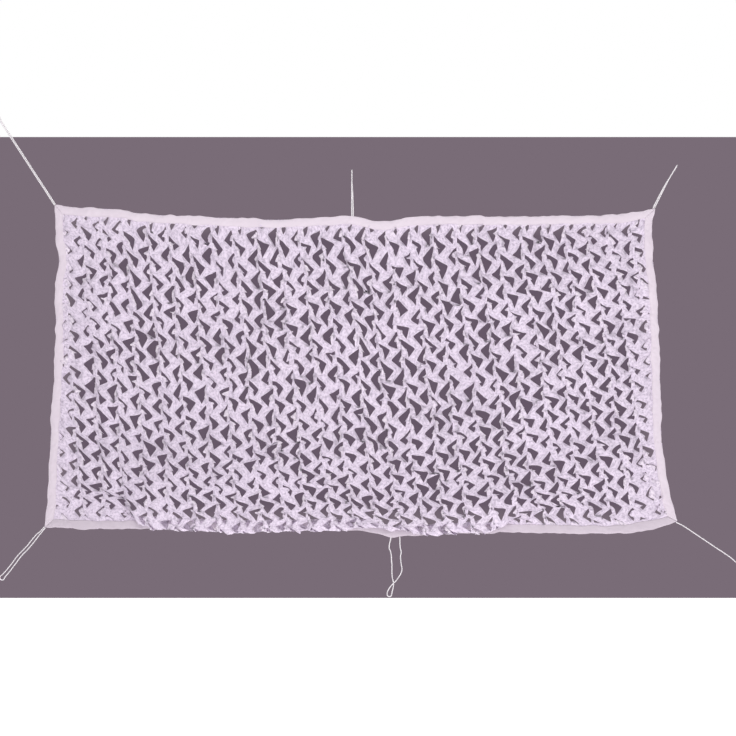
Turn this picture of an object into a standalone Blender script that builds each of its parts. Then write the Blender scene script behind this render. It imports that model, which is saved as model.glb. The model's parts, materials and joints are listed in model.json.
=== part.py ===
"""Camouflage netting: one incised cloth panel with a bound edge, hung by six tie cords.

The panel hangs in the XZ plane with its front towards -Y. The origin is the middle of the top
edge, where the centre tie pulls it up. All sizes are in metres.

Cloth coordinates: "across" runs from the left edge, "drop" runs from the top edge, and "proud"
is a distance towards the back of the panel.
"""

import math

import bmesh
import bpy
from mathutils import Vector
from mathutils.geometry import delaunay_2d_cdt

COLLECTION_NAME = "camouflage_netting"

# Cloth as cut
PANEL_WIDTH = 3.0
PANEL_DROP = 1.5
NET_THICKNESS = 0.0015

# Binding tape, folded over the edge of the cloth
TAPE_WIDTH = 0.038
TAPE_THICKNESS = 0.0012
FIT_GAP = 0.0003
MITRE_GAP = 0.0006
TAPE_HALF_SPREAD = NET_THICKNESS / 2 + FIT_GAP + TAPE_THICKNESS / 2
FOLD_STEPS = 3
STATIONS_ACROSS = 40
STATIONS_DOWN = 20

# Where the four edges hang. The first and last rows of neighbouring edges are the same corner.
TOP_EDGE = (  # x, z
    (-1.449, 0.056),
    (-1.330, 0.042),
    (-1.230, 0.038),
    (-1.130, 0.033),
    (-1.035, 0.013),
    (-0.740, -0.002),
    (-0.400, -0.016),
    (-0.158, -0.008),
    (0.000, 0.000),
    (0.134, -0.026),
    (0.329, -0.002),
    (0.820, -0.002),
    (1.110, 0.003),
    (1.300, 0.007),
    (1.473, 0.037),
)
BOTTOM_EDGE = (  # x, z
    (-1.498, -1.512),
    (-1.230, -1.522),
    (-0.986, -1.518),
    (-0.600, -1.530),
    (0.012, -1.526),
    (0.134, -1.546),
    (0.200, -1.561),
    (0.260, -1.553),
    (0.720, -1.537),
    (1.010, -1.541),
    (1.300, -1.541),
    (1.497, -1.512),
    (1.580, -1.483),
)
LEFT_EDGE = (  # z, x
    (0.056, -1.449),
    (-0.095, -1.444),
    (-0.212, -1.429),
    (-0.329, -1.447),
    (-0.563, -1.444),
    (-0.796, -1.454),
    (-1.147, -1.473),
    (-1.380, -1.483),
    (-1.512, -1.498),
)
RIGHT_EDGE = (  # z, x
    (0.037, 1.473),
    (-0.037, 1.459),
    (-0.212, 1.463),
    (-0.329, 1.478),
    (-0.796, 1.497),
    (-1.030, 1.502),
    (-1.264, 1.527),
    (-1.380, 1.551),
    (-1.483, 1.580),
)

# How the cloth hangs between its edges
SAG = 0.030
SAG_MIDDLE = 0.50
FREE_INSET = TAPE_WIDTH + 0.003
BULGE = 0.020
EDGE_RAMP = 0.250
RELIEF_WAVES = (  # height, waves across, waves down, phase in turns
    (0.014, 2.3, 0.6, 0.10),
    (0.009, 4.1, -1.2, 0.45),
    (0.006, 1.2, 3.1, 0.70),
)

# The slack at the foot of the panel bags forwards and hangs over the front of the bottom binding.
POCKET_SHARE = (  # x, share of the full pocket
    (-1.14, 0.00),
    (-1.08, 0.35),
    (-1.02, 0.85),
    (-0.80, 1.00),
    (-0.12, 1.00),
    (0.03, 0.88),
    (0.14, 0.70),
    (0.24, 0.74),
    (0.34, 0.96),
    (0.56, 1.00),
    (0.66, 0.97),
    (0.73, 0.74),
    (0.80, 0.34),
    (0.88, 0.07),
    (1.00, 0.00),
)
STRETCH_SHARE = (  # x, how far the rows above the pocket sink with it
    (-1.46, 0.00),
    (-1.30, 0.20),
    (-1.06, 0.72),
    (-0.80, 0.96),
    (-0.40, 1.00),
    (0.34, 0.95),
    (0.60, 0.75),
    (0.90, 0.30),
    (1.20, 0.08),
    (1.46, 0.00),
)
STRETCH_FROM = 0.070
STRETCH_RAMP = 0.160
POCKET_PROFILE = (  # cloth length up from the binding, forward, rise
    (0.000, 0.000, 0.000),
    (0.008, 0.001, 0.007),
    (0.014, 0.005, 0.011),
    (0.020, 0.011, 0.010),
    (0.027, 0.015, 0.004),
    (0.045, 0.017, -0.013),
    (0.064, 0.018, -0.032),
    (0.074, 0.022, -0.041),
    (0.082, 0.029, -0.046),
    (0.090, 0.037, -0.043),
    (0.102, 0.042, -0.034),
    (0.140, 0.046, 0.000),
    (0.220, 0.044, 0.073),
    (0.340, 0.036, 0.188),
    (0.460, 0.026, 0.306),
    (0.600, 0.012, 0.455),
    (0.760, 0.003, 0.640),
    (0.924, 0.000, 0.830),
    (1.114, 0.000, 1.044),
    (1.234, 0.000, 1.182),
    (1.418, 0.000, 1.418),
)
POCKET_GRID_ROWS = 11

# Gaps of the incised cloth, drawn at twice its real pitch
REAL_PITCH_ACROSS = 0.111
REAL_PITCH_DOWN = 0.079
CUT_PITCH_ACROSS = 2 * REAL_PITCH_ACROSS
CUT_PITCH_DOWN = 2 * REAL_PITCH_DOWN
FIRST_ROW = 0.5
FIRST_COLUMN = 0.25
COLUMN_DRIFT = 0.12
GAP_MARGIN = 0.012
LOWEST_GAP = 0.106
INSIDE_ONLY = 1
SAME_POINT = 0.000001
RIGHT_OPENING_GAP = (  # shares of the pitch, across and down from the apex
    (0.36, -0.38),
    (0.17, 0.00),
    (0.23, 0.36),
    (0.00, 0.04),
    (0.00, -0.04),
)
LEFT_OPENING_GAP = (  # shares of the pitch, across and down from the apex
    (-0.54, -0.41),
    (0.00, -0.04),
    (0.00, 0.04),
    (-0.26, 0.33),
    (-0.20, -0.02),
)
STRIP_POINTS = (  # shares of the pitch, a point on the cloth beside each gap
    (0.46, 0.02),
    (0.60, 0.50),
)

# Tie cords. A doubled tie runs out along one strand, round its bight, and back along the other.
CORD_DIAMETER = 0.0050
CORD_STEP = 2 * CORD_DIAMETER
MOST_CORD_POINTS = 78
CORD_SIDES_SETTING = 2
CURVE_STEPS = 16
KNOT_LENGTH = 0.017
KNOT_THICKNESS = 0.013
KNOT_SEGMENTS = 12
KNOT_RINGS = 8
TIE_ROUTES = {
    "tie_top_left": (
        (-1.4516, 0.000, 0.0555),
        (-1.4612, 0.000, 0.0704),
        (-1.4839, 0.000, 0.1053),
        (-1.5165, 0.000, 0.1557),
        (-1.5492, 0.000, 0.2060),
        (-1.5819, 0.000, 0.2563),
        (-1.6146, 0.000, 0.3066),
        (-1.6472, 0.000, 0.3570),
        (-1.6799, 0.000, 0.4073),
        (-1.7017, 0.000, 0.4408),
        (-1.7136, 0.000, 0.4593),
        (-1.7178, 0.000, 0.4644),
        (-1.7222, 0.000, 0.4687),
        (-1.7270, 0.000, 0.4727),
        (-1.7319, 0.000, 0.4767),
        (-1.7364, 0.000, 0.4809),
        (-1.7405, 0.000, 0.4860),
        (-1.7422, 0.000, 0.4899),
        (-1.7421, 0.000, 0.4943),
        (-1.7404, 0.000, 0.4982),
        (-1.7373, 0.000, 0.5012),
        (-1.7334, 0.000, 0.5028),
        (-1.7291, 0.000, 0.5027),
        (-1.7250, 0.000, 0.5011),
        (-1.7221, 0.000, 0.4980),
        (-1.7192, 0.000, 0.4921),
        (-1.7171, 0.000, 0.4863),
        (-1.7154, 0.000, 0.4803),
        (-1.7138, 0.000, 0.4741),
        (-1.7116, 0.000, 0.4684),
        (-1.7086, 0.000, 0.4625),
        (-1.6967, 0.000, 0.4440),
        (-1.6749, 0.000, 0.4105),
        (-1.6422, 0.000, 0.3602),
        (-1.6096, 0.000, 0.3098),
        (-1.5769, 0.000, 0.2595),
        (-1.5442, 0.000, 0.2092),
        (-1.5115, 0.000, 0.1589),
        (-1.4789, 0.000, 0.1085),
        (-1.4560, 0.000, 0.0734),
        (-1.4470, 0.000, 0.0594),
    ),
    "tie_top_centre": (
        (-0.0036, 0.000, 0.0015),
        (-0.0036, 0.0000, 0.0200),
        (-0.0036, 0.0000, 0.0450),
        (-0.0037, -0.0008, 0.0750),
        (-0.0037, -0.0018, 0.1050),
        (-0.0035, -0.0026, 0.1350),
        (-0.0031, -0.0030, 0.1650),
        (-0.0029, -0.0031, 0.1780),
        (-0.0029, -0.0037, 0.1850),
        (-0.0029, -0.0050, 0.1910),
        (-0.0029, -0.0069, 0.1970),
        (-0.0029, -0.0088, 0.2030),
        (-0.0029, -0.0103, 0.2090),
        (-0.0029, -0.0110, 0.2155),
        (-0.0029, -0.0102, 0.2197),
        (-0.0029, -0.0078, 0.2233),
        (-0.0029, -0.0042, 0.2257),
        (-0.0029, 0.0000, 0.2265),
        (-0.0029, 0.0042, 0.2257),
        (-0.0029, 0.0078, 0.2233),
        (-0.0029, 0.0102, 0.2197),
        (-0.0029, 0.0110, 0.2155),
        (-0.0029, 0.0103, 0.2090),
        (-0.0029, 0.0088, 0.2030),
        (-0.0029, 0.0069, 0.1970),
        (-0.0029, 0.0050, 0.1910),
        (-0.0029, 0.0037, 0.1850),
        (-0.0028, 0.0031, 0.1780),
        (-0.0021, 0.0030, 0.1650),
        (-0.0003, 0.0026, 0.1350),
        (0.0013, 0.0018, 0.1050),
        (0.0025, 0.0008, 0.0750),
        (0.0032, 0.0000, 0.0450),
        (0.0035, 0.0000, 0.0200),
        (0.0036, 0.000, 0.0014),
    ),
    "tie_top_right": (
        (1.4628, 0.000, 0.0391),
        (1.4756, 0.0000, 0.0661),
        (1.4903, -0.0006, 0.0949),
        (1.5056, -0.0015, 0.1238),
        (1.5213, -0.0023, 0.1519),
        (1.5371, -0.0029, 0.1775),
        (1.5495, -0.0030, 0.1970),
        (1.5563, -0.0031, 0.2081),
        (1.5599, -0.0037, 0.2141),
        (1.5630, -0.0050, 0.2192),
        (1.5662, -0.0069, 0.2243),
        (1.5693, -0.0088, 0.2294),
        (1.5724, -0.0103, 0.2346),
        (1.5758, -0.0110, 0.2401),
        (1.5780, -0.0102, 0.2437),
        (1.5798, -0.0078, 0.2468),
        (1.5811, -0.0042, 0.2488),
        (1.5815, 0.0000, 0.2495),
        (1.5811, 0.0042, 0.2488),
        (1.5798, 0.0078, 0.2468),
        (1.5780, 0.0102, 0.2437),
        (1.5758, 0.0110, 0.2401),
        (1.5724, 0.0103, 0.2346),
        (1.5693, 0.0088, 0.2294),
        (1.5662, 0.0069, 0.2243),
        (1.5630, 0.0050, 0.2192),
        (1.5599, 0.0037, 0.2141),
        (1.5563, 0.0031, 0.2081),
        (1.5495, 0.0030, 0.1970),
        (1.5389, 0.0029, 0.1765),
        (1.5247, 0.0023, 0.1501),
        (1.5104, 0.0015, 0.1212),
        (1.4957, 0.0006, 0.0921),
        (1.4814, 0.0000, 0.0629),
        (1.4706, 0.000, 0.0403),
    ),
    "tie_bottom_left": (
        (-1.5007, 0.000, -1.5113),
        (-1.5110, 0.000, -1.5225),
        (-1.5245, 0.000, -1.5365),
        (-1.5400, 0.000, -1.5490),
        (-1.5660, 0.000, -1.5800),
        (-1.5850, 0.000, -1.6040),
        (-1.6045, 0.000, -1.6240),
        (-1.6240, 0.000, -1.6440),
        (-1.6400, 0.000, -1.6630),
        (-1.6540, 0.000, -1.6830),
        (-1.6690, 0.000, -1.7020),
        (-1.6840, 0.000, -1.7200),
        (-1.6997, 0.000, -1.7379),
        (-1.7090, 0.000, -1.7462),
        (-1.7163, 0.000, -1.7534),
        (-1.7178, 0.000, -1.7586),
        (-1.7167, 0.000, -1.7639),
        (-1.7132, 0.000, -1.7681),
        (-1.7082, 0.000, -1.7701),
        (-1.7028, 0.000, -1.7695),
        (-1.6983, 0.000, -1.7665),
        (-1.6957, 0.000, -1.7617),
        (-1.6915, 0.000, -1.7545),
        (-1.6869, 0.000, -1.7491),
        (-1.6760, 0.000, -1.7360),
        (-1.6640, 0.000, -1.7210),
        (-1.6500, 0.000, -1.7020),
        (-1.6350, 0.000, -1.6830),
        (-1.6210, 0.000, -1.6630),
        (-1.6050, 0.000, -1.6440),
        (-1.5850, 0.000, -1.6250),
        (-1.5680, 0.000, -1.6050),
        (-1.5510, 0.000, -1.5850),
        (-1.5290, 0.000, -1.5560),
        (-1.5165, 0.000, -1.5405),
        (-1.5055, 0.000, -1.5270),
        (-1.4960, 0.000, -1.5159),
    ),
    "tie_bottom_centre": (
        (0.1870, 0.000, -1.5615),
        (0.1850, 0.000, -1.5750),
        (0.1800, 0.000, -1.5950),
        (0.1790, 0.000, -1.6150),
        (0.1860, 0.001, -1.6340),
        (0.1890, 0.001, -1.6530),
        (0.1900, 0.001, -1.6730),
        (0.1920, 0.001, -1.7000),
        (0.1920, 0.002, -1.7300),
        (0.1930, 0.002, -1.7510),
        (0.1970, 0.003, -1.7700),
        (0.2000, 0.004, -1.7870),
        (0.1985, 0.003, -1.8050),
        (0.1950, 0.002, -1.8200),
        (0.1925, 0.001, -1.8310),
        (0.1911, 0.000, -1.8389),
        (0.1899, 0.000, -1.8445),
        (0.1862, 0.000, -1.8486),
        (0.1811, 0.000, -1.8506),
        (0.1756, 0.000, -1.8499),
        (0.1711, 0.000, -1.8468),
        (0.1686, 0.000, -1.8419),
        (0.1697, -0.001, -1.8300),
        (0.1735, -0.002, -1.8200),
        (0.1790, -0.003, -1.8100),
        (0.1870, -0.004, -1.7990),
        (0.1985, -0.004, -1.7870),
        (0.2130, -0.003, -1.7720),
        (0.2270, -0.002, -1.7530),
        (0.2380, -0.001, -1.7330),
        (0.2410, -0.001, -1.7130),
        (0.2370, 0.000, -1.6920),
        (0.2350, 0.000, -1.6730),
        (0.2340, 0.000, -1.6530),
        (0.2370, 0.000, -1.6340),
        (0.2330, 0.000, -1.6140),
        (0.2310, 0.000, -1.5950),
        (0.2310, 0.000, -1.5750),
        (0.2300, 0.000, -1.5595),
    ),
    "tie_bottom_right": (
        (1.5754, 0.000, -1.4891),
        (1.5870, 0.000, -1.4945),
        (1.6050, 0.000, -1.5030),
        (1.6240, 0.000, -1.5150),
        (1.6440, 0.000, -1.5280),
        (1.6630, 0.000, -1.5410),
        (1.6830, 0.000, -1.5540),
        (1.7020, 0.000, -1.5670),
        (1.7215, 0.000, -1.5800),
        (1.7410, 0.000, -1.5930),
        (1.7600, 0.000, -1.6060),
        (1.7800, 0.000, -1.6190),
        (1.8000, 0.000, -1.6320),
        (1.8190, 0.000, -1.6450),
        (1.8380, 0.000, -1.6580),
        (1.8570, 0.000, -1.6740),
        (1.8760, 0.000, -1.6900),
        (1.8910, 0.000, -1.7010),
    ),
}
KNOT_TIE = "tie_bottom_right"
KNOT_NAME = "knot_bottom_right"

NET_COLOUR = (0.74, 0.66, 0.77, 1.0)
TAPE_COLOUR = (0.86, 0.80, 0.84, 1.0)
CORD_COLOUR = (0.90, 0.87, 0.88, 1.0)
CLOTH_ROUGHNESS = 0.85
CORD_ROUGHNESS = 0.65


def clear_scene():
    """Remove every object of the scene that the script starts in."""
    for obj in list(bpy.data.objects):
        bpy.data.objects.remove(obj, do_unlink=True)


def lerp(start, end, share):
    return start + (end - start) * share


def ease(share):
    """Go smoothly from 0 to 1 as share does."""
    share = min(max(share, 0.0), 1.0)
    return share * share * (3.0 - 2.0 * share)


def read_curve(rows, where, column=1):
    """Read a column of a table at a value of its first column, on a smooth curve through its rows."""
    rising = rows if rows[-1][0] > rows[0][0] else rows[::-1]
    if where <= rising[0][0]:
        return rising[0][column]
    if where >= rising[-1][0]:
        return rising[-1][column]
    last = len(rising) - 1
    after = next(i for i in range(1, last + 1) if where <= rising[i][0])
    before = after - 1

    def slope(i):
        low, high = rising[max(i - 1, 0)], rising[min(i + 1, last)]
        return (high[column] - low[column]) / (high[0] - low[0])

    span = rising[after][0] - rising[before][0]
    t = (where - rising[before][0]) / span
    start, end = rising[before][column], rising[after][column]
    return (
        start * (2 * t**3 - 3 * t**2 + 1)
        + slope(before) * span * (t**3 - 2 * t**2 + t)
        + end * (3 * t**2 - 2 * t**3)
        + slope(after) * span * (t**3 - t**2)
    )


def top_point(u):
    x = lerp(TOP_EDGE[0][0], TOP_EDGE[-1][0], u)
    return Vector((x, read_curve(TOP_EDGE, x)))


def bottom_point(u):
    x = lerp(BOTTOM_EDGE[0][0], BOTTOM_EDGE[-1][0], u)
    return Vector((x, read_curve(BOTTOM_EDGE, x)))


def left_point(v):
    z = lerp(LEFT_EDGE[0][0], LEFT_EDGE[-1][0], v)
    return Vector((read_curve(LEFT_EDGE, z), z))


def right_point(v):
    z = lerp(RIGHT_EDGE[0][0], RIGHT_EDGE[-1][0], v)
    return Vector((read_curve(RIGHT_EDGE, z), z))


def between_edges(u, v):
    """The point of the hung panel's outline plane at shares u across and v down (a Coons patch)."""
    across = top_point(u).lerp(bottom_point(u), v)
    down = left_point(v).lerp(right_point(v), u)
    top_chord = top_point(0).lerp(top_point(1), u)
    bottom_chord = bottom_point(0).lerp(bottom_point(1), u)
    return across + down - top_chord.lerp(bottom_chord, v)


def sag_share(u, v):
    """How far a row of the cloth sinks, as a share of SAG: none along the edges, most at the middle."""
    if v <= SAG_MIDDLE:
        down = ease(v / SAG_MIDDLE) * 0.5 + 0.5 * v / SAG_MIDDLE
    else:
        down = ease((1.0 - v) / (1.0 - SAG_MIDDLE))
    return 4.0 * u * (1.0 - u) * down


def relief(across, drop):
    """How far the cloth stands forward of its edges, apart from the pocket at its foot."""
    u, v = across / PANEL_WIDTH, drop / PANEL_DROP
    nearest_side = min(across, PANEL_WIDTH - across) - FREE_INSET
    nearest_end = min(drop, PANEL_DROP - drop) - FREE_INSET
    waves = sum(
        height * math.sin(math.tau * (turns_across * u + turns_down * v + phase))
        for height, turns_across, turns_down, phase in RELIEF_WAVES
    )
    return ease(nearest_side / EDGE_RAMP) * ease(nearest_end / EDGE_RAMP) * (BULGE + waves)


def pocket(x, drop):
    """How far the slack at the foot moves a point forwards and up, as (forward, up)."""
    length = PANEL_DROP - FREE_INSET - drop
    if not 0.0 < length < POCKET_PROFILE[-1][0]:
        return 0.0, 0.0
    share = read_curve(POCKET_SHARE, x)
    sunk = lerp(share, read_curve(STRETCH_SHARE, x), ease((length - STRETCH_FROM) / STRETCH_RAMP))
    forward = read_curve(POCKET_PROFILE, length, 1)
    rise = read_curve(POCKET_PROFILE, length, 2)
    return share * forward, sunk * (rise - length)


def hang(across, drop, proud=0.0):
    """Where a point of the flat cloth lies once the panel hangs."""
    u, v = across / PANEL_WIDTH, drop / PANEL_DROP
    x, z = between_edges(u, v)
    free_u = min(max((across - FREE_INSET) / (PANEL_WIDTH - 2 * FREE_INSET), 0.0), 1.0)
    free_v = min(max((drop - FREE_INSET) / (PANEL_DROP - 2 * FREE_INSET), 0.0), 1.0)
    forward, up = pocket(x, drop)
    return Vector((
        x,
        proud - relief(across, drop) - forward,
        z + up - SAG * sag_share(free_u, free_v),
    ))


def principled(name, colour, roughness):
    """A material with one Principled shader."""
    material = bpy.data.materials.new(name)
    material.use_nodes = True
    shader = material.node_tree.nodes["Principled BSDF"]
    shader.inputs["Base Color"].default_value = colour
    shader.inputs["Roughness"].default_value = roughness
    shader.inputs["Metallic"].default_value = 0.0
    material.diffuse_color = colour
    return material


def add_object(name, data, collection, material):
    """Link a new object for the mesh or curve, with its own material."""
    data.materials.append(material)
    obj = bpy.data.objects.new(name, data)
    collection.objects.link(obj)
    return obj


def give_thickness(obj, thickness):
    """Turn an open surface into a closed sheet centred on it."""
    solidify = obj.modifiers.new("thickness", "SOLIDIFY")
    solidify.thickness = thickness
    solidify.offset = 0.0
    solidify.use_even_offset = False
    solidify.use_rim = True


def rectangle_loop(inset):
    """Corner points of a loop on the cloth, this far in from its edge, at the binding's stations."""
    left, right = inset, PANEL_WIDTH - inset
    top, bottom = inset, PANEL_DROP - inset
    across = [lerp(left, right, i / STATIONS_ACROSS) for i in range(STATIONS_ACROSS + 1)]
    down = [lerp(top, bottom, i / STATIONS_DOWN) for i in range(STATIONS_DOWN + 1)]
    loop = [(x, top) for x in across[:-1]]
    loop += [(right, y) for y in down[:-1]]
    loop += [(x, bottom) for x in across[:0:-1]]
    loop += [(left, y) for y in down[:0:-1]]
    return loop


def on_free_cloth(points):
    """Whether all the points lie clear of the binding and of the pocket's fold."""
    edge = TAPE_WIDTH + GAP_MARGIN
    return all(
        edge < across < PANEL_WIDTH - edge and edge < drop < PANEL_DROP - TAPE_WIDTH - LOWEST_GAP
        for across, drop in points
    )


def lattice_cells():
    """The apex of each cell of the cut pattern. Columns drift to the right as they go down."""
    columns = math.ceil(PANEL_WIDTH / CUT_PITCH_ACROSS) + 1
    rows = math.ceil(PANEL_DROP / CUT_PITCH_DOWN) + 1
    for row in range(rows):
        drop = (row + FIRST_ROW) * CUT_PITCH_DOWN
        for column in range(-1, columns):
            yield (column + FIRST_COLUMN) * CUT_PITCH_ACROSS, drop


def placed(shape, across, drop):
    """A shape given in shares of the pitch, drawn about a point of the drifting lattice."""
    points = []
    for share_across, share_down in shape:
        low = drop + share_down * CUT_PITCH_DOWN
        points.append((across + share_across * CUT_PITCH_ACROSS + COLUMN_DRIFT * low, low))
    return points


def cut_gaps():
    """The outlines of all gaps: one opens to the right at each apex, one to the left half a row on."""
    gaps = []
    for across, drop in lattice_cells():
        gaps.append(placed(RIGHT_OPENING_GAP, across, drop))
        gaps.append(placed(LEFT_OPENING_GAP, across, drop + 0.5 * CUT_PITCH_DOWN))
    return [gap for gap in gaps if on_free_cloth(gap)]


def loose_points():
    """Points on the strips between gaps, and rows of points round the pocket's fold."""
    points = [
        point
        for across, drop in lattice_cells()
        for point in placed(STRIP_POINTS, across, drop)
        if on_free_cloth([point])
    ]
    for length, _, _ in POCKET_PROFILE[1:POCKET_GRID_ROWS]:
        for i in range(1, STATIONS_ACROSS):
            across = lerp(FREE_INSET, PANEL_WIDTH - FREE_INSET, i / STATIONS_ACROSS)
            points.append((across, PANEL_DROP - FREE_INSET - length))
    return points


def make_net_sheet(collection):
    """Cut the panel flat, with its gaps, then hang each of its points.

    Every loop turns the same way, so that the triangulation names what lies inside a gap. The
    cloth ends a fit gap short of the fold of its binding.
    """
    points = []
    faces = []
    for loop in [rectangle_loop(FIT_GAP)] + cut_gaps():
        faces.append(list(range(len(points), len(points) + len(loop))))
        points.extend(Vector(point) for point in loop)
    free_edge = rectangle_loop(FREE_INSET)
    first = len(points)
    edges = [(first + i, first + (i + 1) % len(free_edge)) for i in range(len(free_edge))]
    points.extend(Vector(point) for point in free_edge + loose_points())
    flat, _, triangles, _, _, inside = delaunay_2d_cdt(points, edges, faces, INSIDE_ONLY, SAME_POINT)
    cloth = [list(triangle) for triangle, holders in zip(triangles, inside) if holders == [0]]

    mesh = bpy.data.meshes.new("net_sheet")
    mesh.from_pydata([hang(across, drop) for across, drop in flat], [], cloth)
    mesh.validate()
    obj = add_object("net_sheet", mesh, collection, principled("net_cloth", NET_COLOUR, CLOTH_ROUGHNESS))
    give_thickness(obj, NET_THICKNESS)
    return obj


def tape_profile():
    """The folded tape across its width, as (inset from the cloth's edge, proud), front flap first."""
    fold = [
        (-TAPE_HALF_SPREAD * math.cos(angle), TAPE_HALF_SPREAD * math.sin(angle))
        for angle in (math.pi * (i / FOLD_STEPS - 0.5) for i in range(FOLD_STEPS + 1))
    ]
    return [(TAPE_WIDTH, -TAPE_HALF_SPREAD)] + fold + [(TAPE_WIDTH, TAPE_HALF_SPREAD)]


def make_binding(name, side, collection):
    """Fold a tape over one edge of the panel, mitred at both ends."""
    profile = tape_profile()
    level = side in ("top", "bottom")
    length = PANEL_WIDTH if level else PANEL_DROP
    far_edge = side in ("bottom", "right")
    depth = PANEL_DROP if level else PANEL_WIDTH
    bm = bmesh.new()
    bmesh.ops.create_grid(
        bm,
        x_segments=STATIONS_ACROSS if level else STATIONS_DOWN,
        y_segments=len(profile) - 1,
        size=0.5,
    )
    for vert in bm.verts:
        inset, proud = profile[round((vert.co.y + 0.5) * (len(profile) - 1))]
        mitre = max(inset, 0.0) + MITRE_GAP
        along = lerp(mitre, length - mitre, vert.co.x + 0.5)
        inward = depth - inset if far_edge else inset
        vert.co = hang(along, inward, proud) if level else hang(inward, along, proud)
    mesh = bpy.data.meshes.new(name)
    bm.to_mesh(mesh)
    bm.free()
    obj = add_object(name, mesh, collection, principled(f"{name}_tape", TAPE_COLOUR, CLOTH_ROUGHNESS))
    give_thickness(obj, TAPE_THICKNESS)
    return obj


def smooth_route(route):
    """Even points along a smooth curve through the route's own points."""
    knots = [Vector(point) for point in route]
    fine = []
    for i in range(len(knots) - 1):
        before, start = knots[max(i - 1, 0)], knots[i]
        end, after = knots[i + 1], knots[min(i + 2, len(knots) - 1)]
        for step in range(CURVE_STEPS):
            t = step / CURVE_STEPS
            fine.append(0.5 * (
                2 * start
                + (end - before) * t
                + (2 * before - 5 * start + 4 * end - after) * t**2
                + (3 * start - before - 3 * end + after) * t**3
            ))
    fine.append(knots[-1])
    reach = [0.0]
    for i in range(1, len(fine)):
        reach.append(reach[-1] + (fine[i] - fine[i - 1]).length)
    count = min(math.ceil(reach[-1] / CORD_STEP), MOST_CORD_POINTS - 1)
    points = []
    at = 0
    for i in range(count + 1):
        wanted = reach[-1] * i / count
        while at < len(fine) - 2 and reach[at + 1] < wanted:
            at += 1
        span = reach[at + 1] - reach[at]
        points.append(fine[at].lerp(fine[at + 1], min((wanted - reach[at]) / span, 1.0)))
    return points


def make_tie(name, route, collection):
    """Lay one tie cord as a round tube along its route."""
    points = smooth_route(route)
    curve = bpy.data.curves.new(name, "CURVE")
    curve.dimensions = "3D"
    curve.bevel_depth = CORD_DIAMETER / 2
    curve.bevel_resolution = CORD_SIDES_SETTING
    curve.use_fill_caps = True
    spline = curve.splines.new("POLY")
    spline.points.add(len(points) - 1)
    for spline_point, point in zip(spline.points, points):
        spline_point.co = (*point, 1.0)
    return add_object(name, curve, collection, principled(f"{name}_cord", CORD_COLOUR, CORD_ROUGHNESS))


def make_knot(collection):
    """The stopper knot at the far end of the single tie, as its outer shape."""
    last, before = Vector(TIE_ROUTES[KNOT_TIE][-1]), Vector(TIE_ROUTES[KNOT_TIE][-2])
    direction = (last - before).normalized()
    turn = direction.to_track_quat("Z", "Y").to_matrix().to_4x4()
    bm = bmesh.new()
    bmesh.ops.create_uvsphere(bm, u_segments=KNOT_SEGMENTS, v_segments=KNOT_RINGS, radius=0.5)
    bmesh.ops.scale(bm, vec=(KNOT_THICKNESS, KNOT_THICKNESS, KNOT_LENGTH), verts=bm.verts)
    bmesh.ops.transform(bm, matrix=turn, verts=bm.verts)
    mesh = bpy.data.meshes.new(KNOT_NAME)
    bm.to_mesh(mesh)
    bm.free()
    mesh.shade_smooth()
    obj = add_object(KNOT_NAME, mesh, collection, principled("knot_cord", CORD_COLOUR, CORD_ROUGHNESS))
    obj.location = last + direction * (KNOT_LENGTH / 2 + FIT_GAP)
    return obj


def main():
    clear_scene()
    collection = bpy.data.collections.new(COLLECTION_NAME)
    bpy.context.scene.collection.children.link(collection)
    make_net_sheet(collection)
    for side in ("top", "bottom", "left", "right"):
        make_binding(f"binding_{side}", side, collection)
    for name, route in TIE_ROUTES.items():
        make_tie(name, route, collection)
    make_knot(collection)


main()
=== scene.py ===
"""Camouflage netting: the looks of a hung panel of incised cloth with its bindings, sewing and ties.

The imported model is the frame: every piece here stands for one of its nodes, or is sewn to one, and
lies where that node lies. All sizes are in metres. The panel hangs in the XZ plane with its front
towards -Y, and its origin is the middle of the top edge.

Cloth coordinates: "across" runs from the left edge of the flat cloth and "drop" from its top edge.
In a flat mesh X is across, Y is minus drop, and Z points to the front.
"""

from __future__ import annotations

import json
import logging
import math
from dataclasses import dataclass
from enum import Enum
from typing import Any

import bmesh
import bpy
import numpy as np
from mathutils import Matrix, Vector
from mathutils.geometry import delaunay_2d_cdt

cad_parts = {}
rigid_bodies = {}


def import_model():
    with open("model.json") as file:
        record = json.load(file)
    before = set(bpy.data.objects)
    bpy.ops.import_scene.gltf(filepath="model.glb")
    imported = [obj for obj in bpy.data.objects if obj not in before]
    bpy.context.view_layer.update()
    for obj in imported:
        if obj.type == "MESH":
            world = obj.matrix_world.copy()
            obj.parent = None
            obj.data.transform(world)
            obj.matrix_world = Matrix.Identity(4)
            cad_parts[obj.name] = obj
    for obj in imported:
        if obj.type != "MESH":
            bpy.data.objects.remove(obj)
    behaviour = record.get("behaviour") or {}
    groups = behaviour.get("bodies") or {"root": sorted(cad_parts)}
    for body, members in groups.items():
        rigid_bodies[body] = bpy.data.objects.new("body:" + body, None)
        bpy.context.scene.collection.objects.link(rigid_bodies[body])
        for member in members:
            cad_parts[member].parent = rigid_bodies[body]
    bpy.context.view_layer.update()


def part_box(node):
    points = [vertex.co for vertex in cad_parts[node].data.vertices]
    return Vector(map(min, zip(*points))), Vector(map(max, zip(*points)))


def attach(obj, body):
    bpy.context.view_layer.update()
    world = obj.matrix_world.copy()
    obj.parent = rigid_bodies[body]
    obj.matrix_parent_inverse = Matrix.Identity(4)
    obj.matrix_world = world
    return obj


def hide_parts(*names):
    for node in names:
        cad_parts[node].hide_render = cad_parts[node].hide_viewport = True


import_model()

LOG = logging.getLogger("netting")
BODY = "root"

Table = tuple[tuple[float, ...], ...]
Route = tuple[tuple[float, float, float], ...]

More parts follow.
